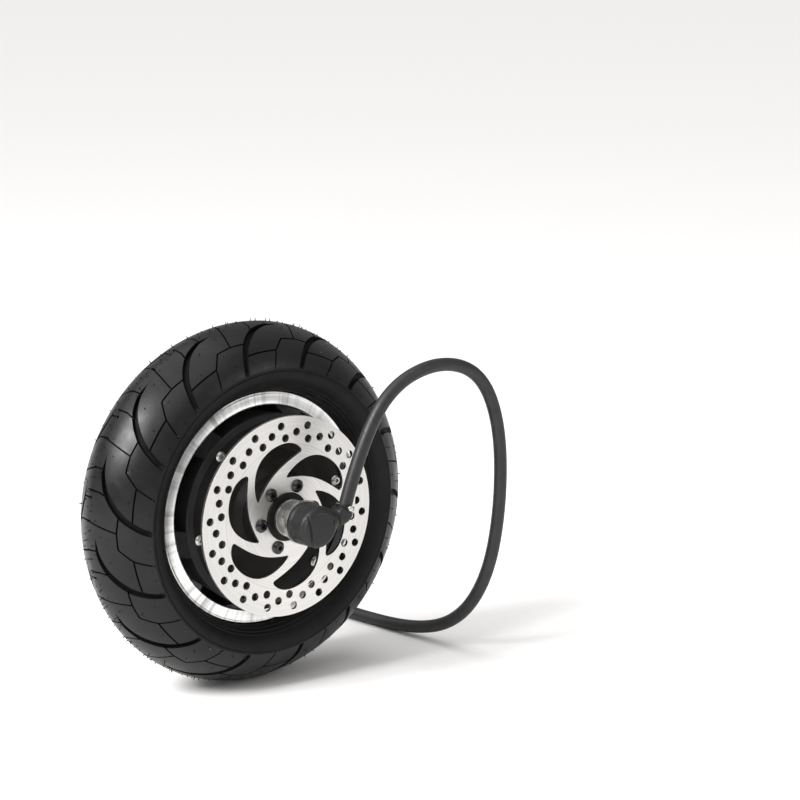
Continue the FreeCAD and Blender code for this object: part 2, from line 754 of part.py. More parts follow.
def elbow_points():
    """Where the elbow starts, its corner and where the cable leaves it."""
    at = V(0, SPOUT_Y, 0)
    corner = at + polar(ELBOW_CORNER_R, SPOUT_ANGLE)
    return at + polar(SPOUT_END_R, SPOUT_ANGLE), corner, corner + polar(ELBOW_TAIL, ELBOW_EXIT_ANGLE)


def cable_elbow():
    """Moulded elbow from the spout to the start of the cable."""
    start, corner, end = elbow_points()
    reach = ELBOW_BEND_R * math.tan(math.radians(ELBOW_EXIT_ANGLE - SPOUT_ANGLE) / 2)
    first = corner - polar(reach, SPOUT_ANGLE)
    last = corner + polar(reach, ELBOW_EXIT_ANGLE)
    bend_centre = first + polar(ELBOW_BEND_R, SPOUT_ANGLE + 90)
    middle = bend_centre + (corner - bend_centre).normalize() * ELBOW_BEND_R
    edges = [line(start, first), arc(first, middle, last), line(last, end)]
    return swept(edges, ELBOW_R, start, polar(1, SPOUT_ANGLE))


def cable_clip():
    """Metal band at the top of the elbow, with a round rivet on its outer side."""
    _, _, end = elbow_points()
    along = polar(1, ELBOW_EXIT_ANGLE)
    low = end - along * 1.9
    band = Part.makeCylinder(ELBOW_R + 0.7, 1.8, low, along)
    rivet = Part.makeCylinder(1.5, 1.6, low + along * 0.9 + V(0, -ELBOW_R - 0.2, 0), V(0, -1, 0))
    return band.fuse(rivet).cut(Part.makeCylinder(ELBOW_R, 4, low - along, along)).removeSplitter()


def motor_cable():
    """Free cable from the elbow to its coil behind the wheel."""
    _, _, start = elbow_points()
    end = COIL_CENTRE + V(COIL_TURN_R, 0, LYING_Z)
    points = [start] + [V(*point) for point in CABLE_ROUTE] + [end]
    edges, radii = rounded_path(points)
    tube = swept(edges, CABLE_R, start, points[1] - points[0])
    length = sum(edge.Length for edge in edges)
    expected = math.pi * CABLE_R**2 * length
    print("cable radii", [round(radius, 1) for radius in radii])
    print("cable length", round(length, 1), "volume share", round(tube.Volume / expected, 4))
    return tube


def upright_ring(inner, outer, z_from, z_to, degrees=360.0, start=0.0):
    """Ring about the coil's upright axis."""
    corners = [V(inner, 0, z_from), V(outer, 0, z_from), V(outer, 0, z_to), V(inner, 0, z_to)]
    solid = Part.Face(Part.makePolygon(corners + corners[:1])).revolve(CENTRE, V(0, 0, 1), degrees)
    solid.rotate(CENTRE, V(0, 0, 1), start)
    solid.translate(COIL_CENTRE)
    return solid


def cable_coil():
    """Outer shape of the wound part: one turn on the ground and half a turn on top of it."""
    inner, outer = COIL_TURN_R - CABLE_R, COIL_TURN_R + CABLE_R
    middle = COIL_BASE_Z + 2 * CABLE_R
    low_turn = upright_ring(inner, outer, COIL_BASE_Z, middle)
    high_turn = upright_ring(inner, outer, middle, middle + 2 * CABLE_R, 240, -60)
    return low_turn.fuse(high_turn).removeSplitter()


def coil_tie():
    """Strap round both turns of the coil."""
    width, low, high = 2 * CABLE_R + 0.4, COIL_BASE_Z - 0.05, COIL_BASE_Z + 4 * CABLE_R + 0.05
    outer = slab((width + 1.6, 10, high - low + 1.6), (COIL_TURN_R, 0, (low + high) / 2))
    strap = outer.cut(slab((width, 12, high - low), (COIL_TURN_R, 0, (low + high) / 2)))
    strap.rotate(CENTRE, V(0, 0, 1), TIE_ANGLE)
    strap.translate(COIL_CENTRE)
    return strap


def tail_points():
    """The end of the cable, from the top of the coil down to the plug on the ground."""
    x = COIL_CENTRE.x - COIL_TURN_R
    top = COIL_BASE_Z + 3 * CABLE_R
    low = GROUND_Z + PLUG_R + 0.2
    return [V(x, COIL_CENTRE.y, top), V(x, 122, top), V(x, 103, low), V(x, PLUG_START_Y, low)]


def cable_tail():
    points = tail_points()
    edges, radii = rounded_path(points)
    print("tail radii", [round(radius, 1) for radius in radii])
    return swept(edges, CABLE_R, points[0], points[1] - points[0])


def plug_piece(corners):
    """Turned piece on the plug's axis from (radius, distance from the cable) corners."""
    end = tail_points()[-1]
    return placed(turned([(radius, -distance) for radius, distance in corners]), end)


def plug_strain_relief():
    return plug_piece([(0, 0), (5.4, 0), (6.6, 16), (0, 16)])


def plug_body():
    """Round overmoulded housing with an open mouth for the pins."""
    corners = [(0, 16), (7.2, 16), (PLUG_R, 18), (PLUG_R, 34), (7.2, 35), (7.2, 46)]
    return plug_piece(corners + [(6.0, 46), (6.0, 36), (0, 36)])


def plug_pins():
    """Three thick phase pins inside six thin signal pins."""
    end = tail_points()[-1]
    pins = [rod(0.9, -36, -43, polar(1.9, 120 * i)) for i in range(3)]
    pins += [rod(0.45, -36, -43, polar(4.4, 60 * i + 30)) for i in range(6)]
    return [placed(pin, end) for pin in pins]


BEARING_PIECES = {
    "outer_race": outer_race,
    "inner_race": inner_race,
    "balls": bearing_balls,
    "cage": bearing_cage,
    "shields": bearing_shields,
}

PIECES = {
    "tyre": tyre,
    "rim_shell": rim_shell,
    "back_iron_ring": back_iron_ring,
    "rotor_magnets": rotor_magnets,
    "disc_side_cover": disc_side_cover,
    "far_side_cover": far_side_cover,
    "disc_side_gasket": lambda: cover_gasket(COVER_OUT_R, RECESS_Y - GASKET_THICK, COVER_SCREW_PCR),
    "far_side_gasket": lambda: cover_gasket(FAR_COVER_R, SHELL_FAR_Y, FAR_SCREW_PCR),
    "disc_side_cover_screws": disc_side_cover_screws,
    "far_side_cover_screws": far_side_cover_screws,
    "brake_disc": brake_disc,
    "brake_disc_bolts": brake_disc_bolts,
    "disc_side_oil_seal": lambda: oil_seal(-52.4, -46.0),
    "far_side_oil_seal": lambda: oil_seal(41.6, 46.6),
    "valve_stem": valve_stem,
    "valve_grommet": valve_grommet,
    "valve_cap": valve_cap,
    "axle": axle,
    "stator_carrier": stator_carrier,
    "carrier_key": carrier_key,
    "carrier_circlips": carrier_circlips,
    "stator_laminations": stator_laminations,
    "stator_end_insulators": stator_end_insulators,
    "phase_windings": phase_windings,
    "hall_sensor_board": hall_sensor_board,
    "hall_sensors": hall_sensors,
    "motor_leads": motor_leads,
    "disc_side_spacer": lambda: spacer(-1),
    "far_side_spacer": lambda: spacer(1),
    "disc_side_torque_washer": lambda: mirrored(torque_washer()),
    "far_side_torque_washer": torque_washer,
    "disc_side_axle_nut": lambda: mirrored(axle_nut()),
    "far_side_axle_nut": axle_nut,
    "axle_boot": axle_boot,
    "far_side_nut_cap": far_side_nut_cap,
    "cable_elbow": cable_elbow,
    "cable_clip": cable_clip,
    "motor_cable": motor_cable,
    "cable_coil": cable_coil,
    "coil_tie": coil_tie,
    "cable_tail": cable_tail,
    "plug_strain_relief": plug_strain_relief,
    "plug_body": plug_body,
    "plug_pins": plug_pins,
}


def save(name, shape):
    """Writes one node, which is one solid or a group of separate solids."""
    solids = shape if isinstance(shape, list) else shape.Solids
    for solid in solids:
        if not solid.isValid() or solid.Volume <= 0:
            print("PROBLEM", name, "valid", solid.isValid(), "volume", solid.Volume)
    whole = solids[0] if len(solids) == 1 else Part.makeCompound(solids)
    whole.exportStep(os.path.join("parts", name + ".step"))


os.makedirs("parts", exist_ok=True)
for piece_name, make in PIECES.items():
    save(piece_name, make())
for side_name, middle_y in (("disc_side", -BEARING_MID_Y), ("far_side", BEARING_MID_Y)):
    for piece_name, make in BEARING_PIECES.items():
        made = make()
        solids_made = made if isinstance(made, list) else [made]
        moved = [placed(solid, V(0, middle_y, 0)) for solid in solids_made]
        save(f"{side_name}_bearing_{piece_name}", moved if len(moved) > 1 else moved[0])
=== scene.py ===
"""The looks of the hub motor wheel: +Y along the axle, +Z up, millimetres until the mesh."""

import json
import math
import random

import bmesh
import bpy
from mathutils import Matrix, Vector
from mathutils.geometry import delaunay_2d_cdt


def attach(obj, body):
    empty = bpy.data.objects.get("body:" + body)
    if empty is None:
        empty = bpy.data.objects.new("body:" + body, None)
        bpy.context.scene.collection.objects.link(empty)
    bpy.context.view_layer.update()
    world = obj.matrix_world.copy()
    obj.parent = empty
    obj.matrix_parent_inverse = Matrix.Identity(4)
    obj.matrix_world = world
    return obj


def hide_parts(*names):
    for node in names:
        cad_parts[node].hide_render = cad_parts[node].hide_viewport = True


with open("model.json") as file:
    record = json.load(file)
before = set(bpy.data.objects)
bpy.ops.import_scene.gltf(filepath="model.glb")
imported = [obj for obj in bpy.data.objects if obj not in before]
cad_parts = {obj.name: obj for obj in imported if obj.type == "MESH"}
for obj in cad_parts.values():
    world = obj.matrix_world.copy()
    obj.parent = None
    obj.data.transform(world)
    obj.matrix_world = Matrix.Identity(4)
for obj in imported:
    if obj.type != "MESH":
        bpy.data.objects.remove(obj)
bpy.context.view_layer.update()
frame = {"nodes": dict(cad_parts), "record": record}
NODES = frame["nodes"]
MM = 0.001

# ---------------------------------------------------------------- camera and room

CAMERA_AZIMUTH, CAMERA_ELEVATION = math.radians(-37.9), math.radians(12.7)
CAMERA_DISTANCE = 2.0
CAMERA_LENS = 129.7
CAMERA_SEES_TO = 50.0
LOOK_AT = Vector((0.092, -0.0587, 0.070))
FLOOR_Z = -0.1272


def place_camera():
    """Camera fitted to the photo, turned toward LOOK_AT."""
    across = math.cos(CAMERA_ELEVATION)
    back = Vector(
        (
            math.sin(CAMERA_AZIMUTH) * across,
            -math.cos(CAMERA_AZIMUTH) * across,
            math.sin(CAMERA_ELEVATION),
        )
    )
    data = bpy.data.cameras.new("camera")
    data.lens = CAMERA_LENS
    data.clip_end = CAMERA_SEES_TO
    camera = bpy.data.objects.new("camera", data)
    camera.location = LOOK_AT + back * CAMERA_DISTANCE
    camera.rotation_euler = back.to_track_quat("Z", "Y").to_euler()
    bpy.context.scene.collection.objects.link(camera)
    bpy.context.scene.camera = camera


place_camera()

# ---------------------------------------------------------------- mesh helpers

WELD_M = 2e-6  # points nearer than this, in metres, are one point


def add_object(name, data):
    """Object with this data, in the scene."""
    made = bpy.data.objects.new(name, data)
    bpy.context.scene.collection.objects.link(made)
    return made


def mesh_object(name, verts, faces, sharp_degrees=35.0, materials=None):
    """Object from points in millimetres, shaded smooth but for edges sharper than an angle.

    materials holds one material index per face, for a piece that has several."""
    mesh = bpy.data.meshes.new(name)
    mesh.from_pydata([Vector(v) * MM for v in verts], [], faces)
    if materials:
        mesh.polygons.foreach_set("material_index", materials)
    work = bmesh.new()
    work.from_mesh(mesh)
    bmesh.ops.remove_doubles(work, verts=work.verts, dist=WELD_M)
    bmesh.ops.recalc_face_normals(work, faces=work.faces)
    work.to_mesh(mesh)
    work.free()
    mesh.shade_smooth()
    mesh.set_sharp_from_angle(angle=math.radians(sharp_degrees))
    return add_object(name, mesh)


def polar(radius, degrees, y=0.0):
    """The place at a radius and an angle round the wheel's axis."""
    turn = math.radians(degrees)
    return Vector((radius * math.cos(turn), y, radius * math.sin(turn)))


def lathe(name, outline, segments, sharp_degrees):
    """Turns a closed outline of (radius, y) about the wheel's axis."""
    verts, faces, rows = [], [], len(outline)
    for i in range(segments):
        for radius, y in outline:
            verts.append(polar(radius, 360.0 * i / segments, y))
    for i in range(segments):
        here, after = i * rows, (i + 1) % segments * rows
        for j in range(rows):
            k = (j + 1) % rows
            faces.append((here + j, here + k, after + k, after + j))
    return mesh_object(name, verts, faces, sharp_degrees)


def bell(value, width):
    """A bump of height 1 at zero."""
    return math.exp(-((value / width) ** 2))


def ramp(value, low, high):
    """Rises smoothly from 0 at low to 1 at high."""
    t = min(1.0, max(0.0, (value - low) / (high - low)))
    return t * t * (3 - 2 * t)


def dress(piece, body, slot, *replaced):
    """Puts a finished piece on its body, and gives it its slot's material."""
    if replaced:
        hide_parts(*replaced)
    piece.data.materials.append(MATERIALS[slot])
    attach(piece, body)
    return piece


# ---------------------------------------------------------------- materials

METAL_GRAIN, SOFT_GRAIN, TURNED_GRAIN = 0.00006, 0.0002, 0.00005  # depths in metres
TURNED_BUMP = 0.05
SLOT_SHADE_LEAN = (0.15, 0.3)  # |normal y| of a wall along y, and of a face that no longer counts as one, for the painted shade in the rim's slots
# Each plain finish: dark tone, light tone, roughness from and to, metallic, grain, patch, bump, gloss
FINISHES = {
    "tyre": ((0.0045, 0.0046, 0.0048), (0.0085, 0.0087, 0.009), (0.26, 0.4), 0, 1500, 40, 0.2, 0.24),
    "tyre_sidewall": (
        (0.0045, 0.0045, 0.0048), (0.0075, 0.0075, 0.008), (0.44, 0.6), 0, 1100, 30, 0.15, 0.15
    ),
    # painted shade: the grooves are darker and rougher than the tread
    "tyre_groove_shade": (
        (0.002, 0.002, 0.0021), (0.004, 0.004, 0.0042), (0.6, 0.75), 0, 1100, 30, 0.15, 0.08
    ),
    "rubber": ((0.007, 0.007, 0.0073), (0.013, 0.013, 0.0134), (0.38, 0.55), 0, 1200, 60, 0.2, 0.32),
    "cable": ((0.01, 0.0098, 0.01), (0.018, 0.0175, 0.018), (0.4, 0.55), 0, 900, 90, 0.15, 0.4),
    "black_cast": ((0.014, 0.014, 0.0148), (0.022, 0.022, 0.023), (0.36, 0.48), 0, 1400, 50, 0.3, 0.3),
    "cover_black": (
        (0.006, 0.0053, 0.005), (0.0105, 0.0094, 0.0087), (0.38, 0.52), 0, 1300, 50, 0.3, 0.15
    ),
    "dark_steel": ((0.012, 0.012, 0.013), (0.03, 0.03, 0.032), (0.11, 0.2), 0.6, 900, 120, 0.03, 0.9),
    "bright_steel": ((0.46, 0.455, 0.44), (0.54, 0.535, 0.52), (0.26, 0.34), 1, 400, 60, 0.01),
    "bearing_steel": ((0.55, 0.55, 0.56), (0.66, 0.66, 0.67), (0.14, 0.24), 1, 900, 60, 0.02),
    "iron": ((0.14, 0.135, 0.13), (0.24, 0.235, 0.23), (0.5, 0.7), 0.8, 900, 70, 0.3),
    "magnet": ((0.5, 0.5, 0.52), (0.62, 0.62, 0.64), (0.22, 0.34), 1, 900, 80, 0.08),
    "laminations": ((0.2, 0.21, 0.22), (0.32, 0.33, 0.34), (0.4, 0.55), 0.8, 2500, 70, 0.3),
    "copper": ((0.42, 0.16, 0.06), (0.6, 0.26, 0.11), (0.28, 0.42), 0.9, 1500, 150, 0.4),
    "aluminium": ((0.6, 0.6, 0.61), (0.75, 0.75, 0.76), (0.34, 0.5), 1, 1200, 60, 0.2),
    "insulator": ((0.55, 0.54, 0.47), (0.66, 0.65, 0.58), (0.45, 0.6), 0, 900, 70, 0.1),
    "board": ((0.01, 0.1, 0.04), (0.02, 0.16, 0.07), (0.3, 0.42), 0, 900, 90, 0.05),
    "chip": ((0.012, 0.012, 0.012), (0.02, 0.02, 0.02), (0.4, 0.5), 0, 900, 90, 0.05),
    "gasket": ((0.1, 0.09, 0.08), (0.16, 0.15, 0.13), (0.7, 0.85), 0, 1500, 90, 0.3),
    "cage": ((0.2, 0.14, 0.07), (0.28, 0.2, 0.11), (0.4, 0.5), 0, 900, 90, 0.05),
    "brass": ((0.5, 0.36, 0.14), (0.64, 0.48, 0.22), (0.22, 0.36), 1, 900, 90, 0.1),
    "plug": ((0.014, 0.014, 0.015), (0.022, 0.022, 0.024), (0.36, 0.48), 0, 1100, 90, 0.15),
    "cap_plastic": ((0.012, 0.012, 0.012), (0.02, 0.02, 0.021), (0.4, 0.5), 0, 900, 90, 0.1),
}
# Each turned finish: dark tone, light tone, roughness from and to, marks per metre, anisotropy
TURNED = {
    "stainless": ((0.54, 0.532, 0.518), (0.68, 0.67, 0.654), (0.3, 0.42), 7000, 0.6),
    "turned_aluminium": ((0.78, 0.78, 0.775), (0.88, 0.88, 0.872), (0.26, 0.38), 9000, 0.6),
}


class Nodes:
    """Adds nodes to one new material."""

    def __init__(self, name):
        self.material = bpy.data.materials.new(name)
        self.material.use_nodes = True
        self.tree = self.material.node_tree
        self.shader = self.tree.nodes["Principled BSDF"]
        coordinates = self.add("ShaderNodeTexCoord")
        self.place = coordinates.outputs["Object"]
        self.normal = coordinates.outputs["Normal"]

    def add(self, kind, **settings):
        node = self.tree.nodes.new(kind)
        for key, value in settings.items():
            setattr(node, key, value)
        return node

    def link(self, source, target):
        self.tree.links.new(source, target)

    def noise(self, scale, detail, roughness=0.55, vector=None):
        """A noise texture's value, at the object's own coordinates if no vector is given."""
        node = self.add("ShaderNodeTexNoise")
        node.inputs["Scale"].default_value = scale
        node.inputs["Detail"].default_value = detail
        node.inputs["Roughness"].default_value = roughness
        self.link(vector or self.place, node.inputs["Vector"])
        return node.outputs["Fac"]

    def spread(self, value, low, high, start=0.3, end=0.7):
        """Maps a texture's value from start..end to low..high."""
        node = self.add("ShaderNodeMapRange")
        node.inputs["From Min"].default_value = start
        node.inputs["From Max"].default_value = end
        node.inputs["To Min"].default_value = low
        node.inputs["To Max"].default_value = high
        self.link(value, node.inputs["Value"])
        return node.outputs["Result"]

    def blend(self, factor, one, two):
        """Mixes two colours by a value."""
        node = self.add("ShaderNodeMix", data_type="RGBA")
        self.link(factor, node.inputs["Factor"])
        node.inputs["A"].default_value = (*one, 1)
        node.inputs["B"].default_value = (*two, 1)
        return node.outputs["Result"]

    def math(self, operation, *values):
        """Arithmetic on numbers and node outputs."""
        node = self.add("ShaderNodeMath", operation=operation)
        for socket, value in zip(node.inputs, values):
            if isinstance(value, (int, float)):
                socket.default_value = value
            else:
                self.link(value, socket)
        return node.outputs[0]

    def radius(self):
        """Distance from the wheel's axis, in metres."""
        split = self.add("ShaderNodeSeparateXYZ")
        self.link(self.place, split.inputs[0])
        across = self.math("MULTIPLY", split.outputs["X"], split.outputs["X"])
        up = self.math("MULTIPLY", split.outputs["Z"], split.outputs["Z"])
        return self.math("SQRT", self.math("ADD", across, up))

    def rings(self, scale):
        """Texture coordinates that change only with the radius, for turned marks."""
        join = self.add("ShaderNodeCombineXYZ")
        self.link(self.math("MULTIPLY", self.radius(), scale), join.inputs[0])
        return join.outputs[0]

    def paint_reflection_streaks(self, scale, dark):
        """Painted reflections: darkens the base colour in streaks that run outward from the wheel's
        axis, in place of the surroundings mirrored in the turned face.
        """
        split = self.add("ShaderNodeSeparateXYZ")
        self.link(self.place, split.inputs[0])
        flat = self.add("ShaderNodeCombineXYZ")
        self.link(split.outputs["X"], flat.inputs[0])
        self.link(split.outputs["Z"], flat.inputs[2])
        unit = self.add("ShaderNodeVectorMath", operation="NORMALIZE")
        self.link(flat.outputs[0], unit.inputs[0])
        marks = self.noise(scale, 2.0, 0.7, unit.outputs[0])
        self.tint(self.spread(marks, dark, 1.0, 0.3, 0.54))

    def paint_slot_shade(self, outer, inner, dark, rougher):
        """Painted shade in the rim's slots: darker and rougher between the rim's faces, where |y| is
        under inner, and on walls along y.
        """
        shares = []
        for vector, low, high in ((self.place, inner, outer), (self.normal, *SLOT_SHADE_LEAN)):
            split = self.add("ShaderNodeSeparateXYZ")
            self.link(vector, split.inputs[0])
            height = self.math("ABSOLUTE", split.outputs["Y"])
            shares.append(self.spread(height, dark, 1.0, low, high))
        share = self.math("MULTIPLY", *shares)
        self.tint(share)
        rough = self.shader.inputs["Roughness"].links[0].from_socket
        extra = self.math("MULTIPLY", self.math("SUBTRACT", 1.0, share), rougher)
        self.link(self.math("ADD", rough, extra), self.shader.inputs["Roughness"])

    def tint(self, share):
        """Multiplies the base colour by a share."""
        product = self.add("ShaderNodeMix", data_type="RGBA", blend_type="MULTIPLY")
        product.inputs["Factor"].default_value = 1.0
        source = self.shader.inputs["Base Color"].links[0].from_socket
        self.link(source, product.inputs["A"])
        self.link(share, product.inputs["B"])
        self.link(product.outputs["Result"], self.shader.inputs["Base Color"])

    def bump(self, height, strength, distance):
        """Grain on the surface, of a depth in metres."""
        node = self.add("ShaderNodeBump")
        node.inputs["Strength"].default_value = strength
        node.inputs["Distance"].default_value = distance
        self.link(height, node.inputs["Height"])
        self.link(node.outputs["Normal"], self.shader.inputs["Normal"])


def surface(name, dark, light, rough, metallic, grain, patch, bump, gloss=0.5):
    """Finish with two tones, uneven roughness and a fine grain."""
    n = Nodes(name)
    patches = n.noise(patch, 5.0, 0.6)
    fine = n.noise(grain, 2.0, 0.5)
    n.link(n.blend(n.spread(patches, 0, 1), dark, light), n.shader.inputs["Base Color"])
    n.link(n.spread(n.noise(patch * 3.1, 4.0), rough[0], rough[1]), n.shader.inputs["Roughness"])
    n.shader.inputs["Metallic"].default_value = metallic
    n.shader.inputs["Specular IOR Level"].default_value = gloss
    n.bump(fine, bump, METAL_GRAIN if metallic else SOFT_GRAIN)
    return n


def turned_metal(name, dark, light, rough, pitch, anisotropy):
    """Metal with ring-shaped tool marks about the wheel's axis."""
    n = Nodes(name)
    marks = n.noise(1.0, 2.0, 0.6, n.rings(pitch))
    wide = n.noise(1.0, 2.0, 0.5, n.rings(pitch / 12))
    n.link(n.blend(n.spread(wide, 0, 1), dark, light), n.shader.inputs["Base Color"])
    n.link(n.spread(marks, rough[0], rough[1]), n.shader.inputs["Roughness"])
    n.shader.inputs["Metallic"].default_value = 1.0
    n.shader.inputs["Anisotropic"].default_value = anisotropy
    tangent = n.add("ShaderNodeTangent", direction_type="RADIAL", axis="Y")
    n.link(tangent.outputs[0], n.shader.inputs["Tangent"])
    n.bump(marks, TURNED_BUMP, TURNED_GRAIN)
    return n


def make_materials():
    made = {slot: surface(slot, *finish) for slot, finish in FINISHES.items()}
    made |= {slot: turned_metal(slot, *finish) for slot, finish in TURNED.items()}
    # painted shade: the black casting is darkened inside the rim's slots and on its walls along y
    made["black_cast"].paint_slot_shade(outer=0.0212, inner=0.0202, dark=0.04, rougher=0.55)
    # painted reflections: dark radial streaks on the turned ring
    made["turned_aluminium"].paint_reflection_streaks(scale=13.0, dark=0.45)
    return {slot: nodes.material for slot, nodes in made.items()}


MATERIALS = make_materials()
for part in frame["record"]["subparts"]:
    node = NODES[part["node"]]
    node.data.materials.clear()
    node.data.materials.append(MATERIALS[part["material_slot"]])

# ---------------------------------------------------------------- cable

CABLE_R = 4.65
GROUND = FLOOR_Z / MM
LYING_Z = GROUND + CABLE_R + 0.05
COIL_CENTRE = (88.0, 136.0)
COIL_R = 50.0
COIL_TURNS, POINTS_PER_TURN = 1.5, 16
CLIMB_FROM = 0.78  # share of the first turn after which the cable climbs onto it
SPOUT_Y = -84.5
SPOUT_ANGLE, EXIT_ANGLE = 12.0, 72.0  # directions in which the boot's spout and the elbow point
ELBOW_CORNER = Vector((0, SPOUT_Y, 0)) + polar(23.5, SPOUT_ANGLE)
CABLE_START = ELBOW_CORNER + polar(6.5, EXIT_ANGLE)
PLUG_AT = Vector((38.0, 88.0, GROUND + 8.2))
# The line's control points: the arch and the run to the coil, and what follows the coil
ROUTE = [
    (37.4, -85, 49.1),
    (62, -86, 88),
    (104, -86, 101),
    (143, -84, 88),
    (163, -82, 48),
    (167, -79, -12),
    (163, -70, -68),
    (157, -44, -106),
    (152, 2, LYING_Z),
    (140, 70, LYING_Z),
]
TAIL = [(38, 122, LYING_Z + 2 * CABLE_R + 0.1), (38, 103, PLUG_AT.z)]


def coil_points():
    """Control points of the wound part: it climbs onto its own first turn as it comes round."""
    swell = COIL_R / (0.75 + 0.25 * math.cos(2 * math.pi / POINTS_PER_TURN))
    points = []
    for i in range(round(COIL_TURNS * POINTS_PER_TURN) + 1):
        angle = 2 * math.pi * i / POINTS_PER_TURN
        x = COIL_CENTRE[0] + swell * math.cos(angle)
        y = COIL_CENTRE[1] + swell * math.sin(angle)
        lift = (2 * CABLE_R + 0.15) * ramp(i / POINTS_PER_TURN, CLIMB_FROM, 1.0)
        points.append((x, y, LYING_Z + lift))
    return points


def cord_curve(name, points, radius):
    """Round cord along a quadratic NURBS line with these control points."""
    data = bpy.data.curves.new(name, "CURVE")
    data.dimensions = "3D"
    spline = data.splines.new("NURBS")
    spline.points.add(len(points) - 1)
    for target, point in zip(spline.points, points):
        target.co = (*(Vector(point) * MM), 1)
    spline.order_u = 3
    spline.use_endpoint_u = True
    data.resolution_u = 12
    data.bevel_depth = radius * MM
    data.bevel_resolution = 8
    data.use_fill_caps = True
    return add_object(name, data)


cable_points = [CABLE_START, *ROUTE, *coil_points(), *TAIL, PLUG_AT]
cable = cord_curve("motor_cable_line", cable_points, CABLE_R)
dress(cable, "axle_set", "cable", "motor_cable", "cable_coil", "cable_tail")

# ---------------------------------------------------------------- tyre

# The section's outer half is a superellipse: radius at the crown and at the widest place, and power
TYRE_R, SIDE_R, HALF_WIDTH, POWER = 127.2, 95.2, 39.0, 1.65
PITCHES = 14
TYRE_TURN = 157.2  # degrees from the pattern's start to its place on the wheel
EDGE_COLUMNS, EDGE_ROWS = 28, 44  # divisions along the edges of one pitch
TREAD_HALF = 48.6  # distance along the section from the crown to the tread's edge
SIDE_SHIFT = 9.35  # degrees between the patterns of the two shoulders
MM_PER_DEGREE = math.radians(TYRE_R - 4)
PITCH_WIDTH = 360.0 / PITCHES * MM_PER_DEGREE
# Each groove: (degrees round, distance from the crown, half width, depth) along its middle line
MAIN_GROOVE = [
    (-0.6, 7.3, 0.15, 0.5),
    (1.2, 7.6, 0.8, 1.8),
    (4.5, 8.6, 1.5, 3.0),
    (9.2, 13.1, 2.0, 3.2),
    (13.2, 19.7, 2.3, 2.9),
    (16.8, 27.5, 2.35, 2.6),
    (19.2, 35.0, 2.3, 2.4),
    (21.2, 42.5, 2.25, 2.2),
    (22.5, 49.4, 2.2, 2.0),
]
THIN, SHALLOW = 0.58, 1.9  # half width and depth of a fine groove
# Fine grooves: (degrees round, distance from the crown) where their straight runs meet
SIPES = [
    [(17.0, 25.2), (22.0, 24.2), (27.6, 24.8), (31.9, 34.6), (35.2, 49.0)],
    [(31.9, 34.6), (44.9, 35.1)],
    [(22.2, 24.2), (19.4, 0.0)],
    [(2.95, 0.0), (2.95, 8.2)],
    [(10.0, -2.5), (10.1, 8.2), (11.0, 15.2)],
]


def smooth_path(rows, step=1.1):
    """Dense points along a Catmull-Rom line through rows of numbers."""
    rows = [Vector(row) for row in rows]
    made = []
    for i in range(len(rows) - 1):
        a, b, c, d = rows[max(i - 1, 0)], rows[i], rows[i + 1], rows[min(i + 2, len(rows) - 1)]
        length = math.hypot((c[0] - b[0]) * MM_PER_DEGREE, c[1] - b[1])
        count = max(1, round(length / step))
        for j in range(count):
            t = j / count
            square, cube = 2 * a - 5 * b + 4 * c - d, 3 * b - a - 3 * c + d
            made.append(0.5 * ((2 * b) + (c - a) * t + square * t * t + cube * t**3))
    return made + [rows[-1]]


def sipe_path(points, step=1.3):
    """Dense points along straight runs, as (degrees, distance, half width, depth)."""
    made = []
    for (a0, t0), (a1, t1) in zip(points, points[1:]):
        count = max(1, round(math.hypot((a1 - a0) * MM_PER_DEGREE, t1 - t0) / step))
        for j in range(count):
            place = (a0 + (a1 - a0) * j / count, t0 + (t1 - t0) * j / count)
            made.append(Vector((*place, THIN, SHALLOW)))
    return made + [Vector((*points[-1], THIN, SHALLOW))]


class Groove:
    """A groove on the flat pattern: across is along the tyre's circumference, up is from the crown."""

    def __init__(self, rows, side, shift):
        self.line = [Vector(((row[0] + shift) * MM_PER_DEGREE, side * row[1])) for row in rows]
        self.half = [row[2] for row in rows]
        self.deep = [row[3] for row in rows]
        margin = max(self.half) + 0.5
        across, up = [p.x for p in self.line], [p.y for p in self.line]
        self.low = Vector((min(across) - margin, min(up) - margin))
        self.high = Vector((max(across) + margin, max(up) + margin))

    def near(self, point):
        return self.low.x < point.x < self.high.x and self.low.y < point.y < self.high.y

    def closest(self, point):
        """(distance, half width, depth) at the nearest place on the middle line."""
        best = (1e9, 1.0, 0.0)
        for i in range(len(self.line) - 1):
            start, run = self.line[i], self.line[i + 1] - self.line[i]
            t = min(1.0, max(0.0, (point - start).dot(run) / max(run.length_squared, 1e-9)))
            distance = (point - start - run * t).length
            if distance < best[0]:
                half = self.half[i] + (self.half[i + 1] - self.half[i]) * t
                best = (distance, half, self.deep[i] + (self.deep[i + 1] - self.deep[i]) * t)
        return best

    def outline(self, share):
        """The closed outline at a share of the half width."""
        left, right = [], []
        for i, point in enumerate(self.line):
            run = self.line[min(i + 1, len(self.line) - 1)] - self.line[max(i - 1, 0)]
            normal = Vector((-run.y, run.x)).normalized() * self.half[i] * share
            left.append(point + normal)
            right.append(point - normal)
        return left + right[::-1]


FLOOR_SHARE = 0.62  # share of a groove's half width that is its flat floor
RUN_OUT = 3.2  # over this distance before the tread's edge a groove rises to the surface
RUN_OUT_END = TREAD_HALF - 0.15


def groove_depth(point, grooves):
    """How far the surface lies under the tread at a point of the pattern."""
    deepest = 0.0
    for groove in grooves:
        if groove.near(point):
            distance, half, deep = groove.closest(point)
            wall = (half - distance) / (half * (1 - FLOOR_SHARE))
            deepest = max(deepest, deep * min(1.0, max(0.0, wall)))
    return deepest * min(1.0, max(0.0, (RUN_OUT_END - abs(point.y)) / RUN_OUT))


SHOULDERS = ((-1, 0.0), (1, SIDE_SHIFT))
PITCH_MARGIN = 4  # a groove that stays this far outside the pitch is left out


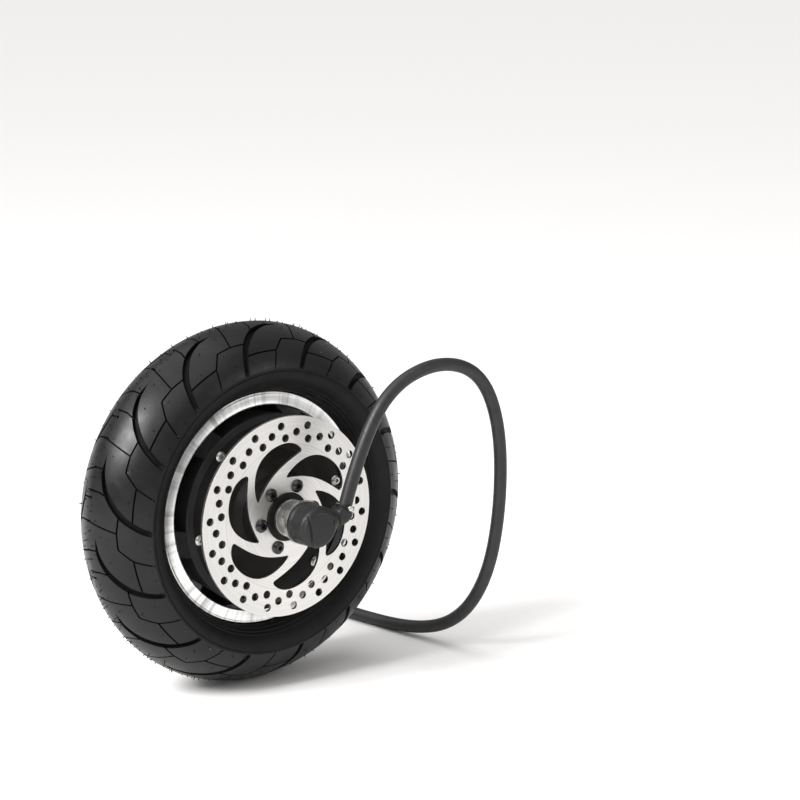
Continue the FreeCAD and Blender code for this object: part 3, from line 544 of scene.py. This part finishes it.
def tread_grooves():
    """All grooves that reach into one pitch, from its neighbours too."""
    made = []
    for side, shift in SHOULDERS:
        for turn in (-3, -2, -1, 0, 1):
            start = shift + turn * 360.0 / PITCHES
            made.append(Groove(smooth_path(MAIN_GROOVE), side, start))
            made += [Groove(sipe_path(points), side, start) for points in SIPES]
    return [g for g in made if g.high.x > -PITCH_MARGIN and g.low.x < PITCH_WIDTH + PITCH_MARGIN]


SPACING = 2.2  # between the free points of the pattern
CLEARANCE = 0.7  # between a free point and a groove's edge
EDGE_CLEARANCE = 0.8  # between a free point and the pitch's far edge


def free_points(grooves):
    """Points in staggered rows that fill the pitch between its grooves."""
    made = []
    for j in range(1, int(2 * TREAD_HALF / SPACING)):
        y = -TREAD_HALF + j * SPACING
        for i in range(1, int(PITCH_WIDTH / SPACING)):
            point = Vector(((i + 0.5 * (j % 2)) * SPACING, y))
            near = [groove.closest(point) for groove in grooves if groove.near(point)]
            clear = all(distance - half > CLEARANCE for distance, half, _ in near)
            if clear and point.x < PITCH_WIDTH - EDGE_CLEARANCE:
                made.append(point)
    return made


def tread_pattern():
    """One pitch of the tread as (points, triangles) on the flat pattern."""
    grooves = tread_grooves()
    verts, edges = [], []

    def chain(points, closed):
        """Adds a line of points that the triangles have to follow."""
        first = len(verts)
        verts.extend(points)
        last = len(verts) - 1
        edges.extend((i, i + 1) for i in range(first, last))
        if closed:
            edges.append((last, first))

    for groove in grooves:
        chain(groove.outline(1.0), True)
        chain(groove.outline(FLOOR_SHARE), True)
    columns = [PITCH_WIDTH * i / EDGE_COLUMNS for i in range(EDGE_COLUMNS + 1)]
    for side in (-1, 1):
        chain([Vector((x, side * TREAD_HALF)) for x in columns], False)
    rows = [TREAD_HALF * (2 * i / EDGE_ROWS - 1) for i in range(EDGE_ROWS + 1)]
    for x in (0.0, PITCH_WIDTH):
        chain([Vector((x, y)) for y in rows], False)
    verts += free_points(grooves)
    points, _, faces, *_ = delaunay_2d_cdt(verts, edges, [], 0, 1e-5)
    kept = []
    for face in faces:
        middle = sum((points[i] for i in face), Vector((0, 0))) / len(face)
        if 0 < middle.x < PITCH_WIDTH and abs(middle.y) < TREAD_HALF:
            kept.append(face)
    depths = {i: groove_depth(points[i], grooves) for face in kept for i in face}
    return points, kept, depths


def crown_curve(samples=600):
    """The tyre's section as rows of (distance from the crown, radius, y) for y over 0."""
    rows, length, before = [], 0.0, None
    for i in range(samples + 1):
        lean = math.pi / 2 * i / samples
        y = HALF_WIDTH * math.sin(lean) ** (2 / POWER)
        radius = SIDE_R + (TYRE_R - SIDE_R) * max(0.0, math.cos(lean)) ** (2 / POWER)
        if before:
            length += math.hypot(radius - before[0], y - before[1])
        rows.append((length, radius, y))
        before = (radius, y)
    return rows


CROWN = crown_curve()


def on_section(distance):
    """(radius, y, normal's radial part, normal's y part) at a distance from the crown."""
    side, reach = (1, distance) if distance >= 0 else (-1, -distance)
    low, high = 0, len(CROWN) - 1
    while high - low > 1:
        middle = (low + high) // 2
        low, high = (middle, high) if CROWN[middle][0] <= reach else (low, middle)
    a, b = CROWN[low], CROWN[high]
    t = (reach - a[0]) / max(b[0] - a[0], 1e-9)
    radius, y = a[1] + (b[1] - a[1]) * t, a[2] + (b[2] - a[2]) * t
    run = Vector((b[1] - a[1], b[2] - a[2])).normalized()
    return radius, side * y, run.y, -side * run.x


def tread_point(point, depth):
    """A point of the flat pattern, brought onto the tyre and sunk by a depth."""
    radius, y, out, across = on_section(point.y)
    return polar(radius - out * depth, point.x / MM_PER_DEGREE, y - across * depth)


# (radius, y): the step under the tread's edge, the bulge's control points, the bead and the inside
EDGE_STEP = [(0.0, 0.0), (-0.5, 0.35), (-1.3, 0.5), (-1.9, 0.1)]
BULGE = Vector((98.2, 38.3)), Vector((89.5, 38.6)), Vector((82.6, 23.4))
BULGE_STEPS = 14
BEAD = [(82.2, 22.2), (82.0, 18.9), (76.2, 18.9), (76.2, 9.9), (79.7, 9.9)]
INSIDE = [(84.5, 22.0), (91.0, 31.0), (98.0, 32.0), (106.0, 28.5)]
INSIDE += [(113.0, 20.0), (117.0, 10.0), (118.7, 0.0)]


def sidewall_rows():
    """(radius, y) from the tread's edge down to the bead and back along the inside to the crown."""
    edge_radius, edge_y, *_ = on_section(TREAD_HALF)
    rows = [(edge_radius + radius, edge_y + y) for radius, y in EDGE_STEP]
    start, middle, foot = BULGE
    for i in range(BULGE_STEPS + 1):
        t = i / BULGE_STEPS
        point = start * (1 - t) ** 2 + middle * 2 * t * (1 - t) + foot * t * t
        rows.append((point.x, point.y))
    return rows + BEAD + INSIDE


BEAD_RIBS = (84.2, 86.0, 87.8)  # radii
RIB_HALF, RIB_RISE = 0.45, 0.35
RIBS_OVER_Y = 23  # the rows with a smaller y are the bead and the inside


def ribbed(rows):
    """Adds the fine ribs that ring the sidewall above the rim."""
    made = []
    for (r0, y0), (r1, y1) in zip(rows, rows[1:]):
        made.append((r0, y0))
        for rib in BEAD_RIBS[::-1]:
            if r0 > rib > r1 and min(y0, y1) > RIBS_OVER_Y:
                run = Vector((r1 - r0, y1 - y0)).normalized()
                at = Vector((r0, y0)) + Vector((r1 - r0, y1 - y0)) * (r0 - rib) / (r0 - r1)
                out = Vector((run.y, -run.x))
                out = out if out.y > 0 else -out
                for place in (at - run * RIB_HALF, at + out * RIB_RISE, at + run * RIB_HALF):
                    made.append(tuple(place))
    return made + [rows[-1]]


TREAD, SIDEWALL, GROOVE_SHADE = range(3)  # the tyre's materials; the grooves' one is painted shade
GROOVE_FROM = 0.4  # a face with a corner deeper than this gets the grooves' painted shade


def build_tyre():
    """The tread's pitches and both sidewalls, with a material index for each face."""
    points, faces, depths = tread_pattern()
    verts, polys, kinds = [], [], []
    for pitch in range(PITCHES):
        index = {}
        for i, depth in depths.items():
            index[i] = len(verts)
            place = Vector((points[i].x + pitch * PITCH_WIDTH, points[i].y))
            verts.append(tread_point(place, depth))
        polys += [tuple(index[i] for i in face) for face in faces]
        kinds += [GROOVE_SHADE if max(depths[i] for i in face) > GROOVE_FROM else TREAD for face in faces]
    columns = PITCHES * EDGE_COLUMNS
    rows = ribbed(sidewall_rows())
    for side in (-1, 1):
        first = len(verts)
        for i in range(columns):
            verts += [polar(radius, 360.0 * i / columns, side * y) for radius, y in rows]
        for i in range(columns):
            here, after = first + i * len(rows), first + (i + 1) % columns * len(rows)
            steps = range(len(rows) - 1)
            polys += [(here + j, here + j + 1, after + j + 1, after + j) for j in steps]
    kinds += [SIDEWALL] * (len(polys) - len(kinds))
    return mesh_object("tyre_with_tread", verts, polys, 32.0, kinds)


HAIR_SIDES, HAIR_R = 5, 0.56
HAIR_LENGTHS, HAIR_LEAN = (0.8, 1.8), 0.5
# Rings of a hair: (share of its length from the surface, share of its radius)
HAIR_RINGS = ((-0.3, 1.0), (0.0, 0.8), (0.6, 0.55), (1.0, 0.25))
HAIR_SEED = 7
GROUND_AT, GROUND_FREE = 270, 14  # no hairs within so many degrees of where the tyre stands
# One pitch's hairs: (degrees round, distance from the crown)
HAIR_SPOTS = [
    (3.0, 46.0), (14.9, 46.0), (6.5, 17.5), (24.0, 12.0), (14.5, 3.5), (6.0, 1.5),
    (0.5, 28.0), (9.0, 46.6), (20.6, 46.4), (11.5, 31.0), (19.0, 7.0), (10.5, 0.5),
    (1.5, 4.0), (25.0, 38.0), (12.5, 1.2), (22.5, 2.0), (4.0, 6.0), (16.5, 2.5),
]  # fmt: skip


def add_hair(verts, faces, foot, out, lean, length):
    """Thin rubber hair left by a mould's vent."""
    side_a = out.orthogonal().normalized()
    side_b = out.cross(side_a)
    first = len(verts)
    for share, thick in HAIR_RINGS:
        middle = foot + out * length * share + lean * length * share * share
        for k in range(HAIR_SIDES):
            turn = 2 * math.pi * k / HAIR_SIDES
            around = side_a * math.cos(turn) + side_b * math.sin(turn)
            verts.append(middle + around * HAIR_R * thick)
    for row in range(len(HAIR_RINGS) - 1):
        here = first + row * HAIR_SIDES
        for k in range(HAIR_SIDES):
            a, b = here + k, here + (k + 1) % HAIR_SIDES
            faces.append((a, b, b + HAIR_SIDES, a + HAIR_SIDES))
    last = len(verts) - HAIR_SIDES
    faces.append(tuple(first + k for k in reversed(range(HAIR_SIDES))))
    faces.append(tuple(last + k for k in range(HAIR_SIDES)))


def build_hairs():
    """Vent hairs: some per pitch on each shoulder and near the crown."""
    chance = random.Random(HAIR_SEED)
    verts, faces = [], []
    for side, shift in SHOULDERS:
        for pitch in range(PITCHES):
            for place, distance in HAIR_SPOTS:
                degrees = place + shift + pitch * 360.0 / PITCHES
                if abs((degrees + TYRE_TURN) % 360 - GROUND_AT) < GROUND_FREE:
                    continue
                radius, y, out, across = on_section(side * distance)
                normal = (polar(out, degrees) + Vector((0, across, 0))).normalized()
                lean = Vector([chance.uniform(-HAIR_LEAN, HAIR_LEAN) for _ in range(3)])
                length = chance.uniform(*HAIR_LENGTHS)
                add_hair(verts, faces, polar(radius, degrees, y), normal, lean, length)
    return mesh_object("tyre_vent_hairs", verts, faces, 60.0)


def turn_about_axle(piece, degrees):
    """Turns a mesh from +x toward +z."""
    turn = math.radians(degrees)
    for vertex in piece.data.vertices:
        x, z = vertex.co.x, vertex.co.z
        vertex.co.x = x * math.cos(turn) - z * math.sin(turn)
        vertex.co.z = x * math.sin(turn) + z * math.cos(turn)


tyre = build_tyre()
hairs = build_hairs()
for piece in (tyre, hairs):
    turn_about_axle(piece, TYRE_TURN)
dress(tyre, "wheel", "tyre", "tyre")
tyre.data.materials.append(MATERIALS["tyre_sidewall"])
# the grooves' material is painted shade
tyre.data.materials.append(MATERIALS["tyre_groove_shade"])
dress(hairs, "wheel", "tyre")

# ---------------------------------------------------------------- rim's machined face

RIM_FACE = 21.3  # |y| of the casting's face under the ring
# (radius, rise over the face): the lip, the band and the inner edge
RIM_FACE_OUTLINE = [
    (81.3, -0.4), (81.62, 0.1), (81.45, 0.35), (81.1, 0.5), (80.6, 0.5),
    (80.2, 0.36), (79.9, 0.26), (79.6, 0.24), (73.6, 1.15), (73.3, 1.28),
    (72.9, 1.25), (72.45, 1.0), (72.15, 0.5), (72.05, -0.9), (73.0, -0.9),
]  # fmt: skip


def build_rim_face(side):
    """Turned ring on the rim: a rounded lip, a band that leans outward and a rounded inner edge."""
    outline = [(radius, side * (RIM_FACE + rise)) for radius, rise in RIM_FACE_OUTLINE]
    name = "rim_face_disc_side" if side < 0 else "rim_face_far_side"
    return lathe(name, outline, 288, 40)


for side in (-1, 1):
    ring = dress(build_rim_face(side), "wheel", "black_cast")
    ring.data.materials[0] = MATERIALS["turned_aluminium"]

# ---------------------------------------------------------------- boot, elbow and clip

BOOT_R, BOOT_START, BOOT_END = 14.5, -72.4, -91.0
BOOT_CORNER = 4.0
BOOT_SEGMENTS, CORNER_ROWS, FRONT_ROWS = 264, 22, 44
LIP_END = BOOT_START - 2.7
CREASE_TOP, CREASE_FOOT = Vector((-9.5, 9)), Vector((-6, -15.5))  # (x, z) on the boot's front
DENT_AT = 247.6  # degrees round the boot


def boot_relief(x, z):
    """Height of the moulded marks on the boot's front: a crease, the fold beside it and a few steps."""
    run = (CREASE_FOOT - CREASE_TOP).normalized()
    place = Vector((x, z)) - CREASE_TOP
    along, across = place.dot(run), place.x * -run.y + place.y * run.x
    length = ramp(along, -3, 3)
    radius, turn = math.hypot(x, z), math.degrees(math.atan2(z, x)) % 360
    left = ramp(turn, 95, 120) * (1 - ramp(turn, 225, 245))
    left *= 1 - ramp(across, -2.4, -1.2)
    steps = 0.6 * (ramp(radius, 10.3, 10.8) + ramp(radius, 12.3, 12.8)) * left
    crease = bell(across, 0.6 if across > 0 else 0.95)
    fold = 0.5 * bell(across + 2.3, 1.3) - crease + 0.3 * ramp(across, 0, 1.5)
    top = 0.4 * bell(radius - 10.8, 0.5) * ramp(turn, 35, 55) * (1 - ramp(turn, 100, 120))
    return length * fold - steps + top - 0.02 * radius


def boot_rows():
    """(radius, y) from inside the open end, round its lip and along the side to the front's middle."""
    hole, out = BOOT_R - 1.4, BOOT_R + 0.15
    rows = [(hole, BOOT_START - 3), (hole, BOOT_START - 0.5), (hole + 0.3, BOOT_START)]
    rows += [(out - 0.35, BOOT_START), (out, BOOT_START - 0.4), (out, BOOT_START - 2.2)]
    rows += [(BOOT_R - 0.2, LIP_END)]
    rows += [(BOOT_R - 0.1, LIP_END - i * 1.5) for i in range(1, 8)]
    for i in range(1, CORNER_ROWS + 1):
        lean = math.pi / 2 * i / CORNER_ROWS
        radius = BOOT_R - BOOT_CORNER * (1 - math.cos(lean))
        rows.append((radius, BOOT_END + BOOT_CORNER * (1 - math.sin(lean))))
    flat = BOOT_R - BOOT_CORNER
    rows += [(flat * (1 - i / FRONT_ROWS), BOOT_END) for i in range(1, FRONT_ROWS)]
    return rows + [(0.15, BOOT_END)]


def boot_point(radius, degrees, y):
    """A place on the boot, with its dent, its slightly oval end and its front's marks."""
    dent = 0.4 * bell((degrees - DENT_AT) * 0.28, 1.6) * ramp(-y, 78, 90)
    swell = 0.25 * math.sin(math.radians(2 * degrees + 40)) * ramp(-y, 80, 92)
    place = polar(max(0.1, radius - (dent - swell) * min(1.0, radius / 12)), degrees, y)
    place.y -= boot_relief(place.x, place.z) * ramp(-y, -BOOT_END - 6, -BOOT_END - 0.5)
    return place


SPOUT = [(11.0, 7.0), (14.6, 6.7), (15.6, 6.2), (16.2, 6.1)]  # (distance along, radius)
SPOUT += [(16.5, 6.7), (17.3, 6.7), (17.5, 6.4), (17.5, 4.0)]
# The pull tab under the spout: (distance along, distance below, half width)
TAB = ((13.2, 5.8, 1.6), (17.6, 6.2, 1.5), (17.9, 7.7, 1.2), (14.0, 8.4, 1.3))


def build_boot():
    """Rubber boot over the axle's end, with its spout and pull tab."""
    rows = boot_rows()
    verts, faces = [], []
    for i in range(BOOT_SEGMENTS):
        verts += [boot_point(radius, 360.0 * i / BOOT_SEGMENTS, y) for radius, y in rows]
    steps = range(len(rows) - 1)
    for i in range(BOOT_SEGMENTS):
        here, after = i * len(rows), (i + 1) % BOOT_SEGMENTS * len(rows)
        faces += [(here + j, here + j + 1, after + j + 1, after + j) for j in steps]
    faces.append(tuple((i + 1) * len(rows) - 1 for i in range(BOOT_SEGMENTS)))
    along, below = polar(1, SPOUT_ANGLE), polar(1, SPOUT_ANGLE - 90)
    centre = Vector((0, SPOUT_Y, 0))
    add_turned(verts, faces, centre, along, SPOUT, 48)
    k = len(verts)
    for reach, drop, half in TAB:
        foot = centre + along * reach + below * drop
        verts += [foot + Vector((0, -half, 0)), foot + Vector((0, half, 0))]
    faces += [(k, k + 2, k + 4, k + 6), (k + 1, k + 7, k + 5, k + 3)]
    for i in range(0, 8, 2):
        faces.append((k + i, k + i + 1, k + (i + 3) % 8, k + (i + 2) % 8))
    return mesh_object("axle_boot_moulded", verts, faces, 40)


def add_turned(verts, faces, origin, axis, profile, segments, cap_start=False, cap_end=False):
    """Adds a surface turned about any axis; the profile is (distance along, radius)."""
    side_a = axis.orthogonal().normalized()
    side_b = axis.cross(side_a)
    first, rows = len(verts), len(profile)
    for i in range(segments):
        turn = 2 * math.pi * i / segments
        out = side_a * math.cos(turn) + side_b * math.sin(turn)
        verts.extend(origin + axis * along + out * radius for along, radius in profile)
    for i in range(segments):
        here, after = first + i * rows, first + (i + 1) % segments * rows
        faces.extend((here + j, here + j + 1, after + j + 1, after + j) for j in range(rows - 1))
    if cap_start:
        faces.append(tuple(first + i * rows for i in range(segments)))
    if cap_end:
        faces.append(tuple(first + i * rows + rows - 1 for i in range(segments)))


def turned_piece(name, origin, axis, profile, segments, sharp_degrees=35.0):
    """Closed piece turned about any axis."""
    verts, faces = [], []
    add_turned(verts, faces, origin, axis, profile, segments, True, True)
    return mesh_object(name, verts, faces, sharp_degrees)


def guide_points(controls):
    """Points in millimetres along the NURBS line with these control points."""
    guide = cord_curve("guide", controls, 0)
    mesh = bpy.data.meshes.new_from_object(guide)
    points = [vertex.co / MM for vertex in mesh.vertices]
    bpy.data.objects.remove(guide)
    bpy.data.meshes.remove(mesh)
    return points


ELBOW_R = 6.0
ELBOW_SEGMENTS = 56
GRIP_RIBS = (0.4, 0.55)  # shares of the elbow's length


def build_elbow():
    """Moulded elbow of a squarish section, with a collar at the spout and two grip ribs."""
    start = Vector((0, SPOUT_Y, 0)) + polar(16.9, SPOUT_ANGLE)
    points = guide_points([start, ELBOW_CORNER, CABLE_START - polar(0.3, EXIT_ANGLE)])
    verts, faces = [], []
    level = Vector((0, 1, 0))
    for n, point in enumerate(points):
        share = n / (len(points) - 1)
        run = (points[min(n + 1, len(points) - 1)] - points[max(n - 1, 0)]).normalized()
        side = run.cross(level)
        size = ELBOW_R + 0.35 * (1 - ramp(share, 0.08, 0.2)) - 0.5 * ramp(share, 0.72, 0.8)
        size += sum(0.25 * bell(share - rib, 0.035) for rib in GRIP_RIBS)
        power = 2 + 2.4 * ramp(share, 0.05, 0.25) * (1 - ramp(share, 0.65, 0.8))
        for k in range(ELBOW_SEGMENTS):
            turn = 2 * math.pi * k / ELBOW_SEGMENTS
            u, v = math.cos(turn), math.sin(turn)
            reach = size * (abs(u) ** power + abs(v) ** power) ** (-1 / power)
            verts.append(point + level * u * reach + side * v * reach)
    for n in range(len(points) - 1):
        here = n * ELBOW_SEGMENTS
        for k in range(ELBOW_SEGMENTS):
            a, b = here + k, here + (k + 1) % ELBOW_SEGMENTS
            faces.append((a, b, b + ELBOW_SEGMENTS, a + ELBOW_SEGMENTS))
    faces.append(tuple(range(ELBOW_SEGMENTS))[::-1])
    faces.append(tuple(range(len(verts) - ELBOW_SEGMENTS, len(verts))))
    return mesh_object("cable_elbow_moulded", verts, faces, 40)


def build_clip():
    """Band round the end of the elbow, closed by a bright rivet."""
    along = polar(1, EXIT_ANGLE)
    low = CABLE_START - along * 2.6
    band = [(0, 5.2), (0, 6.2), (0.25, 6.5), (2.2, 6.5), (2.45, 6.2), (2.45, 5.2)]
    piece = turned_piece("cable_clip_band", low, along, band, 72)
    out = Vector((0, -1, 0))
    rivet = [(0, 1.9), (0.9, 1.9), (1.25, 1.65), (1.5, 1.1), (1.6, 0.3)]
    head = turned_piece("cable_clip_rivet", low + along * 1.3 + out * 6.1, out, rivet, 32, 50)
    return piece, head


dress(build_boot(), "axle_set", "rubber", "axle_boot")
dress(build_elbow(), "axle_set", "rubber", "cable_elbow")
clip_band, clip_rivet = build_clip()
dress(clip_band, "axle_set", "dark_steel", "cable_clip")
dress(clip_rivet, "axle_set", "bright_steel")


def build_far_cap():
    """Plain rubber cap on the other nut, with a beaded lip and a ring step on its end."""
    hole, out, end = BOOT_R - 1.4, BOOT_R + 0.15, BOOT_START - BOOT_END
    rows = [(3, hole), (0.5, hole), (0, hole + 0.3)]
    rows += [(0, out - 0.35), (0.4, out), (2.2, out), (2.7, out - 0.35)]
    rows += [(end - 5, out - 0.25), (end - 2.4, out - 0.9), (end - 0.8, out - 2.4), (end, out - 4.8)]
    rows += [(end, out - 5.6), (end - 0.5, out - 6.0), (end - 0.5, 0.3)]
    return turned_piece("far_cap_moulded", Vector((0, -BOOT_START, 0)), Vector((0, 1, 0)), rows, 144)


dress(build_far_cap(), "axle_set", "rubber", "far_side_nut_cap")

# ---------------------------------------------------------------- plug

PLUG_LINE = Vector((0, -1, 0))
RELIEF_RIBS, RIB_PITCH = 5, 2.9
FLUTES, FLUTE_DEPTH = 24, 0.28
FLUTED_FROM, FLUTED_TO = 20.0, 32.4  # distances along the plug
BODY_PROFILE = [(16.05, 5.5), (16.05, 7.4), (16.6, 7.95), (18.6, 7.95), (19.0, 7.5), (19.6, 7.5)]
BODY_PROFILE += [(FLUTED_FROM, 7.95), (FLUTED_TO, 7.95), (33.2, 7.6), (34.6, 7.2), (45.4, 7.2)]
BODY_PROFILE += [(45.95, 6.8), (45.95, 6.05), (45.4, 6.0), (35.5, 6.0), (35.5, 0.4)]


def build_plug():
    """Strain relief with ribs, and the connector's body with its nut and grip flutes."""
    relief = [(-0.4, 4.6), (0, 5.3)]
    for i in range(RELIEF_RIBS):
        at, size = 1.2 + i * RIB_PITCH, 5.45 + 0.22 * i
        relief += [(at, size), (at + 1.7, size + 0.12)]
        relief += [(at + 1.95, size - 0.6), (at + 2.7, size - 0.55)]
    relief += [(15.9, 6.6), (16.2, 6.4)]
    boot = turned_piece("plug_relief_ribbed", PLUG_AT, PLUG_LINE, relief, 56, 40)
    verts, faces = [], []
    add_turned(verts, faces, PLUG_AT, PLUG_LINE, BODY_PROFILE, 144, False, True)
    for vertex in verts:
        place = vertex - PLUG_AT
        if FLUTED_FROM - 0.1 < -place.y < FLUTED_TO + 0.1:
            wave = 0.5 + 0.5 * math.cos(FLUTES * math.atan2(place.z, place.x))
            vertex -= Vector((place.x, 0, place.z)).normalized() * FLUTE_DEPTH * wave
    body = mesh_object("plug_body_fluted", verts, faces, 40)
    return boot, body


plug_relief, plug_body = build_plug()
dress(plug_relief, "axle_set", "plug", "plug_strain_relief")
dress(plug_body, "axle_set", "plug", "plug_body")

# ---------------------------------------------------------------- carried-over parts: broken edges

# Bevel widths and the CAD parts that have them; the covers have none, since it spikes at their holes
EDGE_WIDTHS = {
    0.25: ["rim_shell"],
    0.18: [
        "brake_disc",
        "disc_side_axle_nut",
        "far_side_axle_nut",
        "disc_side_spacer",
        "far_side_spacer",
        "coil_tie",
    ],
    0.12: [
        "brake_disc_bolts",
        "disc_side_cover_screws",
        "far_side_cover_screws",
        "valve_cap",
        "valve_stem",
    ],
}
EDGE_SHARP = math.radians(35)


def break_edges(name, width):
    """Small bevel on a CAD part's edges, with even shading."""
    piece = NODES[name]
    weld = piece.modifiers.new("weld", "WELD")
    weld.merge_threshold = WELD_M
    bevel = piece.modifiers.new("bevel", "BEVEL")
    bevel.width = width * MM
    bevel.segments = 2
    bevel.limit_method = "ANGLE"
    bevel.angle_limit = EDGE_SHARP
    bevel.harden_normals = False
    piece.modifiers.new("normals", "WEIGHTED_NORMAL").keep_sharp = True


for width, names in EDGE_WIDTHS.items():
    for name in names:
        break_edges(name, width)

# ---------------------------------------------------------------- room and lights


def area_light(name, place, width, height, power):
    """Rectangular lamp turned toward the origin."""
    data = bpy.data.lights.new(name, "AREA")
    data.shape = "RECTANGLE"
    data.size, data.size_y = width, height
    data.energy = power
    light = add_object(name, data)
    light.location = place
    light.rotation_euler = Vector(place).to_track_quat("Z", "Y").to_euler()


def sun_light(name, direction, strength, spread):
    """Distant light from a direction, as wide in degrees as its spread."""
    data = bpy.data.lights.new(name, "SUN")
    data.energy = strength
    data.angle = math.radians(spread)
    light = add_object(name, data)
    light.rotation_euler = Vector(direction).to_track_quat("Z", "Y").to_euler()


FLOOR_HALF = 12.0
FLOOR_COLOUR, FLOOR_ROUGHNESS = (0.86, 0.85, 0.84, 1), 0.8
WORLD_COLOUR, WORLD_STRENGTH = (1.0, 0.995, 0.99, 1), 0.42


def build_room():
    """Plain pale floor and a soft white surround."""
    half = FLOOR_HALF
    corners = [(-half, -half), (half, -half), (half, half), (-half, half)]
    mesh = bpy.data.meshes.new("floor")
    mesh.from_pydata([(x, y, FLOOR_Z) for x, y in corners], [], [(0, 1, 2, 3)])
    ground = add_object("floor", mesh)
    pale = Nodes("floor")
    pale.shader.inputs["Base Color"].default_value = FLOOR_COLOUR
    pale.shader.inputs["Roughness"].default_value = FLOOR_ROUGHNESS
    mesh.materials.append(pale.material)
    world = bpy.data.worlds.new("studio")
    world.use_nodes = True
    background = world.node_tree.nodes["Background"]
    background.inputs["Color"].default_value = WORLD_COLOUR
    background.inputs["Strength"].default_value = WORLD_STRENGTH
    bpy.context.scene.world = world
    bpy.context.scene.view_settings.view_transform = "Standard"


build_room()
sun_light("ceiling", direction=(-0.45, 0.1, 1.0), strength=2.1, spread=85)
area_light("key", place=(-1.55, 0.0, 1.2), width=0.75, height=0.75, power=58)
area_light("front", place=(1.0, -1.7, 0.9), width=0.9, height=1.2, power=7)
